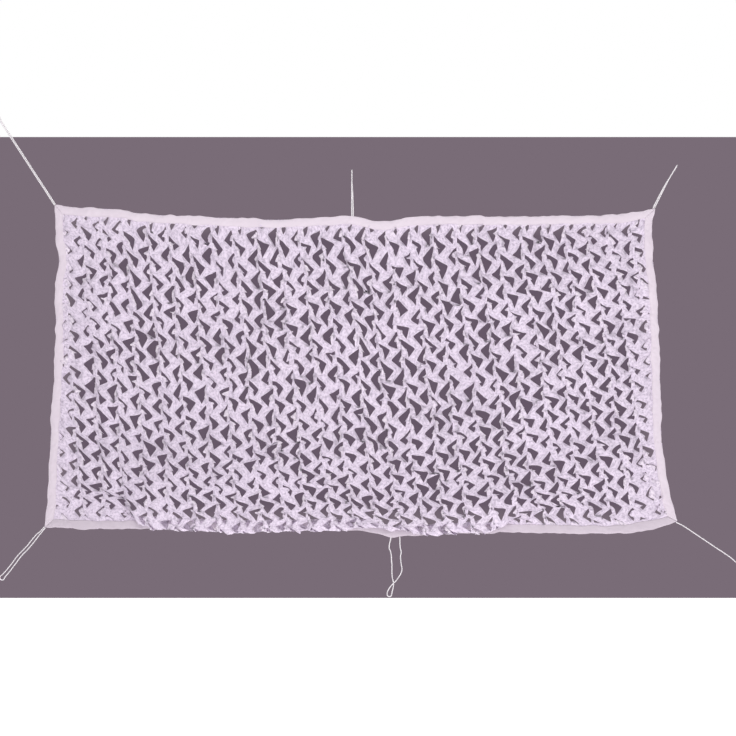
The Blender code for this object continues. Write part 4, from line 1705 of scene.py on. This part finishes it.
        drawn = lerp(*self.drawn_in, wide) + self.drawn_by_curl * rolled
        drawn = np.clip(drawn * gape, 0.0, self.most_drawn)
        length = reach * (1.0 - drawn)
        side = np.where(roll > self.calm_back_share, 1.0, -1.0)
        calm = np.radians(lerp(*self.calm_bend, turn)) * side * np.clip(gape, 0.12, 1.0)
        towards = np.where(roll > self.curled_back_share, 1.0, -1.0)
        tight = np.radians(lerp(*self.tight_bend, wide)) * towards
        angle = np.where(rolled, tight, calm) * (1.0 + 0.6 * (tone - 0.5) * aside) * free
        angle = np.where(np.abs(angle) < 0.01, 0.01, angle)
        along = length * np.where(rolled, np.sin(angle * share) / angle, share * np.cos(angle / 2))
        lift = length * np.where(rolled, (1.0 - np.cos(angle * share)) / angle, share * np.sin(angle / 2))
        unit = arm / reach[:, None]
        past_root = np.maximum(np.abs(aside) - 1.0, 0.0)
        narrowed = -np.sign(aside) * past_root * np.clip(gape, 0.0, 0.95)
        narrowed += (roll - 0.5) * self.swing * share**1.5 * gape
        narrowed -= aside * self.pinch * ease(share / 0.25) * np.clip(gape, 0.0, 1.0)
        moved = unit * along[:, None] + half * narrowed[:, None]

        places = np.stack([across, drop], axis=-1)
        nudge = np.zeros_like(places)
        for (height, size), seeds in ((self.sway, (31, 32)), (self.shake, (33, 34))):
            nudge += height * np.stack([smooth_noise(places / size, seed) for seed in seeds], axis=-1)
        nudge *= free[:, None]
        gathered = zones.gathered(across, drop)
        diagonal = np.stack([across + 1.6 * drop, drop - 0.4 * across], axis=-1) / self.gather_size
        folds = self.gather_height * smooth_noise(diagonal, 41) * gathered
        height, size = self.crumple
        folds += height * smooth_noise(places / size, 42) * lerp(0.45, 1.0, gathered)
        height, size = self.billow
        folds += height * smooth_noise(places / size, 43)
        lattice = (across - self.column_drift * drop) / self.pitch_across
        wave = np.sin(math.tau * (lattice + 0.12 * smooth_noise(places / 0.15, 44)))
        folds += self.ripple * wave * np.clip(gape, 0.0, 1.0)
        flare = np.linalg.norm(push, axis=1) * lerp(*self.flare, roll) * (share < 0.01)
        lift = lift + (folds + flare * gape) * free

        across = np.clip(across + nudge[:, 0] + opened[:, 0], 0.0, PANEL_WIDTH)
        drop = np.clip(drop + nudge[:, 1] - opened[:, 1], 0.0, PANEL_DROP)
        probe = shape.probe
        right = (shape.place(across + probe, drop) - shape.place(across - probe, drop)) / (2 * probe)
        up = (shape.place(across, drop - probe) - shape.place(across, drop + probe)) / (2 * probe)
        front = np.cross(right, up)
        front /= np.linalg.norm(front, axis=1)[:, None]
        hung = shape.place(across, drop)
        hung += right * moved[:, :1] + up * moved[:, 1:] + front * lift[:, None]
        for limit, room in ((self.hindmost, self.stop_room), (self.foremost, -self.stop_room)):
            past = np.maximum((hung[:, 1] - limit + room) / room, 0.0)
            hung[:, 1] = np.where(past > 0.0, limit - room + room * np.tanh(past), hung[:, 1])
        mesh.vertices.foreach_set("co", hung.astype(np.float32).ravel())
        leaf_tone = np.clip((tone - 0.5) * 0.8 + 0.3, 0.0, 1.0) * (share > 0.0)
        write_attribute(mesh, "leaf_tone", leaf_tone)
        for title in ("share", "wide", "tone", "roll", "turn", "curled", "aside", "leaf_arm",
                      "leaf_half", "slit_push", "cell_edge", "draw", "curled_share", "side"):
            if title in mesh.attributes:
                mesh.attributes.remove(mesh.attributes[title])
        mesh.update()

    def build(self, material: bpy.types.Material) -> bpy.types.Object:
        """Build the net panel.

        Args:
            material: Its cloth.

        Returns:
            The piece.
        """
        cells = self.cells()
        values = {"Cells": cells, "Seed": self.seed, "Join Distance": 0.5 * MM, "Cloth": material}
        mesh = run_tree(self.lattice(), self.tree(), values, "incised_net")
        for cell in list(cells.objects):
            bpy.data.objects.remove(cell, do_unlink=True)
        bpy.data.collections.remove(cells)
        self.trim(mesh)
        self.hang(mesh)
        piece = link(bpy.data.objects.new("incised_net", mesh))
        thicken(piece, "cloth_thickness", CLOTH_THICKNESS)
        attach(piece, BODY)
        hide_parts(self.node)
        return piece


# ---------------------------------------------------------------- bindings
class Side(Enum):
    """The edge of the panel that a binding is sewn over."""

    TOP = "top"
    BOTTOM = "bottom"
    LEFT = "left"
    RIGHT = "right"


@dataclass(frozen=True)
class EdgeBinding:
    """A tape folded over one edge of the panel, mitred at both ends and sewn through."""

    side: Side
    shape: HungShape
    width: float = TAPE_WIDTH
    thickness: float = 1.0 * MM
    half_spread: float = 1.65 * MM
    puff: float = 1.7 * MM
    mitre_gap: float = 0.4 * MM
    station: float = 7 * MM
    flap_steps: int = 8
    fold_steps: int = 5
    pucker: float = 0.9 * MM
    wander: float = 2.4 * MM
    edge_wave: float = 2.2 * MM
    hem_spread: float = 1.05 * MM
    stitch_rows: tuple[float, ...] = (4 * MM, 31 * MM)
    fold_share: float = 0.12  # the part of each half of the girth that goes round the fold
    bump_size: float = 45 * MM
    pucker_size: float = 22 * MM
    wander_size: float = 110 * MM
    edge_wave_size: float = 160 * MM
    edge_ripple_size: float = 60 * MM
    end_calm: float = 60 * MM

    @property
    def node(self) -> str:
        """The solid that it stands for."""
        return f"binding_{self.side.value}"

    @property
    def length(self) -> float:
        """Its length along the edge of the flat cloth."""
        return self.shape.width if self.side in (Side.TOP, Side.BOTTOM) else self.shape.drop

    def flap_share(self, flap: Any) -> Any:
        """How far across its flap a place of the girth lies: 0 at the fold and 1 at the hem."""
        return (flap - self.fold_share) / (1.0 - self.fold_share)

    def surface(self, along: np.ndarray, girth: np.ndarray, proud_by: float = 0.0) -> np.ndarray:
        """Points of the tape's middle surface.

        Args:
            along: Distances along the edge.
            girth: Places across the tape: the front flap's hem at -1, the fold at 0, the back's at 1.
            proud_by: How far the points stand off the surface, outwards.

        Returns:
            One position for each point.
        """
        flap = np.abs(girth)
        turned = np.minimum(flap / self.fold_share, 1.0) * math.pi / 2
        half = self.half_spread + proud_by
        folded = flap < self.fold_share
        inset = np.where(folded, -half * np.cos(turned), self.flap_share(flap) * self.width)
        places = np.stack([along / self.bump_size, np.full(len(along), float(len(self.node)))], axis=-1)
        bump = smooth_noise(places, 51)
        pinch = smooth_noise(np.stack([along / self.pucker_size, girth * 1.4], axis=-1), 52)
        past = flap - self.fold_share
        swell = self.puff * np.sin(math.pi * np.clip(past / 0.80, 0.0, 1.0)) * (1.0 + 0.45 * bump)
        ripple = self.pucker * pinch * np.clip(past / 0.3, 0.0, 1.0)
        settled = half - (half - proud_by - self.hem_spread) * ease((flap - 0.80) / 0.20)
        proud = np.sign(girth) * (settled * np.sin(turned) + np.maximum(swell + ripple, -0.4 * MM))
        ends = ease(np.minimum(along, self.length - along) / self.end_calm)
        drift = smooth_noise(np.stack([along / self.wander_size, girth * 0.5], axis=-1), 53)
        wobble = self.wander * drift * ends
        inset = inset + wobble * np.where(girth < 0.0, 1.0, 0.6)
        level = np.zeros_like(along)
        rough = smooth_noise(np.stack([along / self.edge_wave_size, level], axis=-1), 54)
        rough += 0.6 * smooth_noise(np.stack([along / self.edge_ripple_size, level], axis=-1), 55)
        inset += self.edge_wave * rough * ends * np.clip(1.0 - flap, 0.0, 1.0)
        return self.on_cloth(along, inset, proud)

    def on_cloth(self, along: np.ndarray, inset: np.ndarray, proud: np.ndarray) -> np.ndarray:
        """Place points of the tape in space.

        Args:
            along: Distances along the edge.
            inset: Distances in from it.
            proud: Distances towards the back.

        Returns:
            The points.
        """
        far = self.side in (Side.BOTTOM, Side.RIGHT)
        if self.side in (Side.TOP, Side.BOTTOM):
            return self.shape.place(along, self.shape.drop - inset if far else inset, proud)
        return self.shape.place(self.shape.width - inset if far else inset, along, proud)

    def girths(self) -> np.ndarray:
        """Places across the tape, from the front flap's hem round the fold to the back flap's.

        Returns:
            The places, from -1 to 1.
        """
        flap = np.linspace(self.fold_share, 1.0, self.flap_steps + 1)
        fold = np.linspace(-self.fold_share, self.fold_share, self.fold_steps + 1)
        return np.concatenate([-flap[:0:-1], fold, flap[1:]])

    def build(self, material: bpy.types.Material) -> bpy.types.Object:
        """Build the tape.

        Args:
            material: Its woven tape.

        Returns:
            The piece.
        """
        girths = self.girths()
        steps = round(self.length / self.station)
        share, girth = np.meshgrid(np.linspace(0.0, 1.0, steps + 1), girths, indexing="ij")
        inset = np.clip(self.flap_share(np.abs(girth)), 0.0, 1.0) * self.width + self.mitre_gap
        along = lerp(inset, self.length - inset, share)
        points = self.surface(along.ravel(), girth.ravel()).reshape(*along.shape, 3)
        flat = np.stack([along, girth * self.width], axis=-1)
        piece = grid_object(f"{self.node}_tape", points, flat, material)
        self._face_outwards(piece)
        thicken(piece, "tape_thickness", self.thickness)
        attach(piece, BODY)
        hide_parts(self.node)
        return piece

    @staticmethod
    def _face_outwards(piece: bpy.types.Object) -> None:
        """Turn the faces so that the front flap's point to the front.

        Args:
            piece: The tape's piece, before its thickness.
        """
        mesh = piece.data
        front = sum((face.normal.y for face in mesh.polygons if face.center.y < 0.0), 0.0)
        if front > 0.0:
            mesh.flip_normals()

    def stitch_lines(self) -> list[tuple[np.ndarray, float]]:
        """The rows of stitching on both flaps.

        Returns:
            Points of each row, and the way that its outside faces: -1 to the front, 1 to the back.
        """
        lines = []
        for inset in self.stitch_rows:
            for face in (-1.0, 1.0):
                along = np.arange(inset + 3 * MM, self.length - inset - 3 * MM, 5 * MM)
                share = lerp(self.fold_share, 1.0, (self.width - inset) / self.width)
                girth = np.full(len(along), face * share)
                lines.append((self.surface(along, girth), face))
        return lines


@dataclass(frozen=True)
class Seams:
    """Lockstitch rows along a binding, laid by a tree that sets a stitch on every pitch of a line."""

    pitch: float = 5 * MM  # real stitches are 3 mm apart; drawn as coarse as they need to show
    stitch_length: float = 3.9 * MM
    thread: float = 0.8 * MM
    stand_off: float = 0.75 * MM

    def stitch(self) -> bpy.types.Object:
        """One stitch: a short arched thread, lowest at its ends.

        Returns:
            An object outside the scene, along X with its outside towards Z.
        """
        sides = 4
        rings = ((-0.50, -0.45, 0.55), (-0.20, 0.05, 1.0), (0.20, 0.05, 1.0), (0.50, -0.45, 0.55))
        points, faces = [], []
        for along, height, girth in rings:
            for i in range(sides):
                angle = math.tau * (i + 0.5) / sides
                points.append((
                    along * self.stitch_length,
                    math.cos(angle) * self.thread / 2 * girth,
                    height * self.thread + math.sin(angle) * self.thread / 2 * girth,
                ))
        for ring in range(len(rings) - 1):
            for i in range(sides):
                a, b = ring * sides + i, ring * sides + (i + 1) % sides
                faces.append((a, b, b + sides, a + sides))
        faces.append(tuple(range(sides - 1, -1, -1)))
        faces.append(tuple(range(len(points) - sides, len(points))))
        mesh = bpy.data.meshes.new("stitch")
        mesh.from_pydata(points, [], faces)
        return bpy.data.objects.new("stitch", mesh)

    def tree(self) -> Any:
        """The tree that sets a stitch on every pitch of each line, its outside as the line says.

        Returns:
            The tree.
        """
        tree, given = geometry_tree(
            "stitch_rows",
            {"Pitch": "NodeSocketFloat", "Stitch": "NodeSocketObject", "Thread": "NodeSocketMaterial"},
        )
        lines = add_node(tree, "GeometryNodeMeshToCurve", {0: given.outputs["Geometry"]})
        even = add_node(
            tree, "GeometryNodeResampleCurve",
            {"Curve": lines.outputs[0], "Length": given.outputs["Pitch"]}, mode="LENGTH",
        )
        tangent = add_node(tree, "GeometryNodeInputTangent", {})
        outside = add_node(
            tree, "GeometryNodeInputNamedAttribute", {"Name": "outside"}, data_type="FLOAT_VECTOR",
        )
        turn = add_node(
            tree, "FunctionNodeAxesToRotation",
            {"Primary Axis": tangent.outputs[0], "Secondary Axis": outside.outputs[0]},
            primary_axis="X", secondary_axis="Z",
        )
        stitch = add_node(tree, "GeometryNodeObjectInfo", {0: given.outputs["Stitch"]})
        laid = add_node(
            tree, "GeometryNodeInstanceOnPoints",
            {"Points": even.outputs[0], "Instance": stitch.outputs["Geometry"],
             "Rotation": turn.outputs[0]},
        )
        real = add_node(tree, "GeometryNodeRealizeInstances", {0: laid.outputs[0]})
        smooth = add_node(tree, "GeometryNodeSetShadeSmooth", {0: real.outputs[0]})
        dressed = add_node(
            tree, "GeometryNodeSetMaterial", {0: smooth.outputs[0], 2: given.outputs["Thread"]},
        )
        add_node(tree, "NodeGroupOutput", {0: dressed.outputs[0]})
        return tree

    def sew(self, binding: EdgeBinding, tree: Any, material: bpy.types.Material) -> bpy.types.Object:
        """Sew the rows of one binding.

        Args:
            binding: The binding.
            tree: The tree that lays the stitches.
            material: The thread.

        Returns:
            The piece.
        """
        points, edges, outside = [], [], []
        for line, face in binding.stitch_lines():
            first = len(points)
            points += [(x, y + face * self.stand_off, z) for x, y, z in line]
            edges += [(first + i, first + i + 1) for i in range(len(line) - 1)]
            outside += [(0.0, face, 0.0)] * len(line)
        name = f"{binding.node}_stitches"
        mesh = bpy.data.meshes.new(name)
        mesh.from_pydata(points, edges, [])
        write_attribute(mesh, "outside", outside, "FLOAT_VECTOR")
        source = link(bpy.data.objects.new(name, mesh))
        stitch = self.stitch()
        values = {"Pitch": self.pitch, "Stitch": stitch, "Thread": material}
        sewn = run_tree(source, tree, values, name)
        bpy.data.objects.remove(stitch, do_unlink=True)
        piece = link(bpy.data.objects.new(name, sewn))
        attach(piece, BODY)
        return piece


# ---------------------------------------------------------------- stage
@dataclass(frozen=True)
class Studio:
    """Camera, soft lights, pale floor and backdrop."""

    pixel: float = 4.87 * MM
    picture: int = 736
    origin_column: float = 352.5
    origin_row: float = 216.5
    backdrop_rows: tuple[float, float] = (137.0, 598.0)
    lens: float = 120.0
    sensor_width: float = 36.0
    backdrop_behind: float = 1.2
    floor_front: float = 7.0
    floor_half_width: float = 5.0
    backdrop_colour: str = "796C77"
    shaded_backdrop: str = "665867"
    shade_spans: tuple[tuple[str, float, float], ...] = (("X", 0.02, 1.58), ("Z", -0.76, 0.81))
    shade_fade: float = 0.12

    def camera_distance(self) -> float:
        """How far the camera stands from the panel, so that the picture's width fits."""
        return self.picture * self.pixel * self.lens / self.sensor_width

    def middle(self) -> tuple[float, float]:
        """X and Z of the picture's middle, in the panel's plane."""
        half = self.picture / 2
        return (half - self.origin_column) * self.pixel, (self.origin_row - half) * self.pixel

    def seen_height(self, row: float, behind: float) -> float:
        """Z of a point that shows at a row of the picture, at a distance behind the panel.

        Args:
            row: The row, from the top.
            behind: The distance.

        Returns:
            Its height.
        """
        centre = self.middle()[1]
        in_plane = (self.origin_row - row) * self.pixel
        return centre + (in_plane - centre) * (1 + behind / self.camera_distance())

    def shade(self, tree: Any, glow: Any, colour: str, shade_colour: str) -> None:
        """Darken a card softly where the panel would shade it.

        Args:
            tree: The card's material.
            glow: Its emission node.
            colour: Its colour in the light.
            shade_colour: Its colour in the shade.
        """
        place = add_node(tree, "ShaderNodeTexCoord", {}).outputs["Object"]
        axes = add_node(tree, "ShaderNodeSeparateXYZ", {0: place})
        sides = []
        for axis, middle, half in self.shade_spans:
            off = add_node(tree, "ShaderNodeMath", {0: axes.outputs[axis], 1: middle}, operation="SUBTRACT")
            away = add_node(tree, "ShaderNodeMath", {0: off.outputs[0]}, operation="ABSOLUTE")
            sides.append(add_node(
                tree, "ShaderNodeMapRange",
                {"Value": away.outputs[0], 1: half, 2: half - self.shade_fade, 3: 0.0, 4: 1.0},
                interpolation_type="SMOOTHSTEP",
            ))
        share = add_node(
            tree, "ShaderNodeMath", {0: sides[0].outputs[0], 1: sides[1].outputs[0]}, operation="MULTIPLY",
        )
        mixed = add_node(
            tree, "ShaderNodeMix", {0: share.outputs[0], "A": srgb(colour), "B": srgb(shade_colour)},
            data_type="RGBA",
        )
        tree.links.new(mixed.outputs[2], glow.inputs["Color"])

    def card(
        self, name: str, colour: str, behind: float, low: float, high: float, shade_colour: str = "",
    ) -> None:
        """Stand up a card that only the camera sees, and only from its front.

        Args:
            name: The card's name.
            colour: Its colour.
            behind: How far behind the panel it stands.
            low: Its lower edge.
            high: Its upper edge.
            shade_colour: Its colour behind the panel, if it is shaded there.
        """
        material = bpy.data.materials.new(f"{name}_paper")
        material.use_nodes = True
        tree = material.node_tree
        tree.nodes.clear()
        glow = add_node(tree, "ShaderNodeEmission", {"Color": srgb(colour), "Strength": 1.0})
        if shade_colour:
            self.shade(tree, glow, colour, shade_colour)
        clear = add_node(tree, "ShaderNodeBsdfTransparent", {})
        side = add_node(tree, "ShaderNodeNewGeometry", {})
        mixed = add_node(
            tree, "ShaderNodeMixShader",
            {0: side.outputs["Backfacing"], 1: glow.outputs[0], 2: clear.outputs[0]},
        )
        add_node(tree, "ShaderNodeOutputMaterial", {"Surface": mixed.outputs[0]})
        half = self.floor_half_width
        corners = [(-half, behind, low), (half, behind, low), (half, behind, high), (-half, behind, high)]
        obj = quad_object(name, corners, material)
        obj.visible_diffuse = False
        obj.visible_glossy = False
        obj.visible_shadow = False

    def build(self) -> None:
        """Set up the camera, the floor, the cards and the lights."""
        x, z = self.middle()
        camera_data = bpy.data.cameras.new("camera")
        camera_data.lens = self.lens
        camera = link(bpy.data.objects.new("camera", camera_data))
        camera.location = (x, -self.camera_distance(), z)
        camera.rotation_euler = (math.pi / 2, 0.0, 0.0)
        bpy.context.scene.camera = camera
        bpy.context.scene.view_settings.view_transform = "Standard"

        behind = self.backdrop_behind
        floor_z = self.seen_height(self.backdrop_rows[1], behind)
        half = self.floor_half_width
        corners = [
            (-half, -self.floor_front, floor_z), (half, -self.floor_front, floor_z),
            (half, behind + 0.1, floor_z), (-half, behind + 0.1, floor_z),
        ]
        pale, _, shader = new_material("pale_floor", 0.9)
        shader.inputs["Base Color"].default_value = srgb("F2F1F3")
        shader.inputs["Emission Color"].default_value = srgb("FFFFFF")
        shader.inputs["Emission Strength"].default_value = 0.75
        floor = quad_object("floor", corners, pale)
        top = self.seen_height(self.backdrop_rows[0], behind)
        self.card("backdrop", self.backdrop_colour, behind, floor_z, top, self.shaded_backdrop)
        self.card("wall", "FFFFFF", behind + 0.05, floor_z, floor_z + 5.0)
        self.lights()

    def lights(self) -> None:
        """Soft light from the front, strongest on the middle of the panel, and a little on its back."""
        world = bpy.data.worlds.new("studio")
        bpy.context.scene.world = world
        world.use_nodes = True
        tree = world.node_tree
        tree.nodes.clear()
        path = add_node(tree, "ShaderNodeLightPath", {})
        around = add_node(tree, "ShaderNodeBackground", {"Color": srgb("F4F2F6"), "Strength": 0.31})
        seen = add_node(
            tree, "ShaderNodeBackground", {"Color": srgb(self.backdrop_colour), "Strength": 1.0},
        )
        mixed = add_node(
            tree, "ShaderNodeMixShader",
            {0: path.outputs["Is Camera Ray"], 1: around.outputs[0], 2: seen.outputs[0]},
        )
        add_node(tree, "ShaderNodeOutputWorld", {"Surface": mixed.outputs[0]})
        for name, place, size, power in (
            ("key_light", (-1.0, -3.0, 1.5), 2.0, 52.0),
            ("fill_light", (2.2, -2.9, 0.1), 2.4, 33.0),
            ("back_light", (0.6, 3.0, 1.4), 2.4, 40.0),
        ):
            data = bpy.data.lights.new(name, "AREA")
            data.size = size
            data.energy = power
            light = link(bpy.data.objects.new(name, data))
            light.location = place
            light.visible_camera = False
            aim = Vector((0.0, 0.0, -0.7)) - Vector(place)
            light.rotation_euler = aim.to_track_quat("-Z", "Y").to_euler()


# ---------------------------------------------------------------- the whole
def main() -> None:
    """Build every piece in order, and report the ties, the net and the bindings."""
    logging.basicConfig(level=logging.INFO, format="%(name)s: %(message)s")
    Studio().build()
    shape = HungShape()
    cord_material = CordFinish().build()
    cord = LaidCord()
    cord_tree = cord.tree()
    knot = StopperKnot().build(TIE_BOTTOM_RIGHT, cord_tree, cord_material)
    for tie in TIES:
        piece, line = tie.build(cord, cord_tree, cord_material)
        length = tie.declare(piece, line, [knot] if tie.far_end == "knot" else [])
        LOG.info("%s: %.3f m of cord, %d faces", piece.name, length, len(piece.data.polygons))

    net = IncisedCloth(shape, ClothZones()).build(ClothFinish().build())
    LOG.info("%s: %d faces before its thickness", net.name, len(net.data.polygons))
    clean_tape, thread_material = TapeFinish().build(), ThreadFinish().build()
    # The bottom binding's tape is darker: painted shade, as it faces down under the fold.
    painted_shade_tape = TapeFinish("polyester_tape_painted_shade", "D9CDD7", "C9BCC8").build()
    seams = Seams()
    stitch_tree = seams.tree()
    bindings = []
    for side in Side:
        binding = EdgeBinding(side, shape)
        tape = binding.build(painted_shade_tape if side is Side.BOTTOM else clean_tape)
        sewn = seams.sew(binding, stitch_tree, thread_material)
        bindings += [tape, sewn]
        faces, stitch_faces = len(tape.data.polygons), len(sewn.data.polygons)
        LOG.info("%s: %d faces, with %d of stitches", tape.name, faces, stitch_faces)


if __name__ == "__main__":
    main()
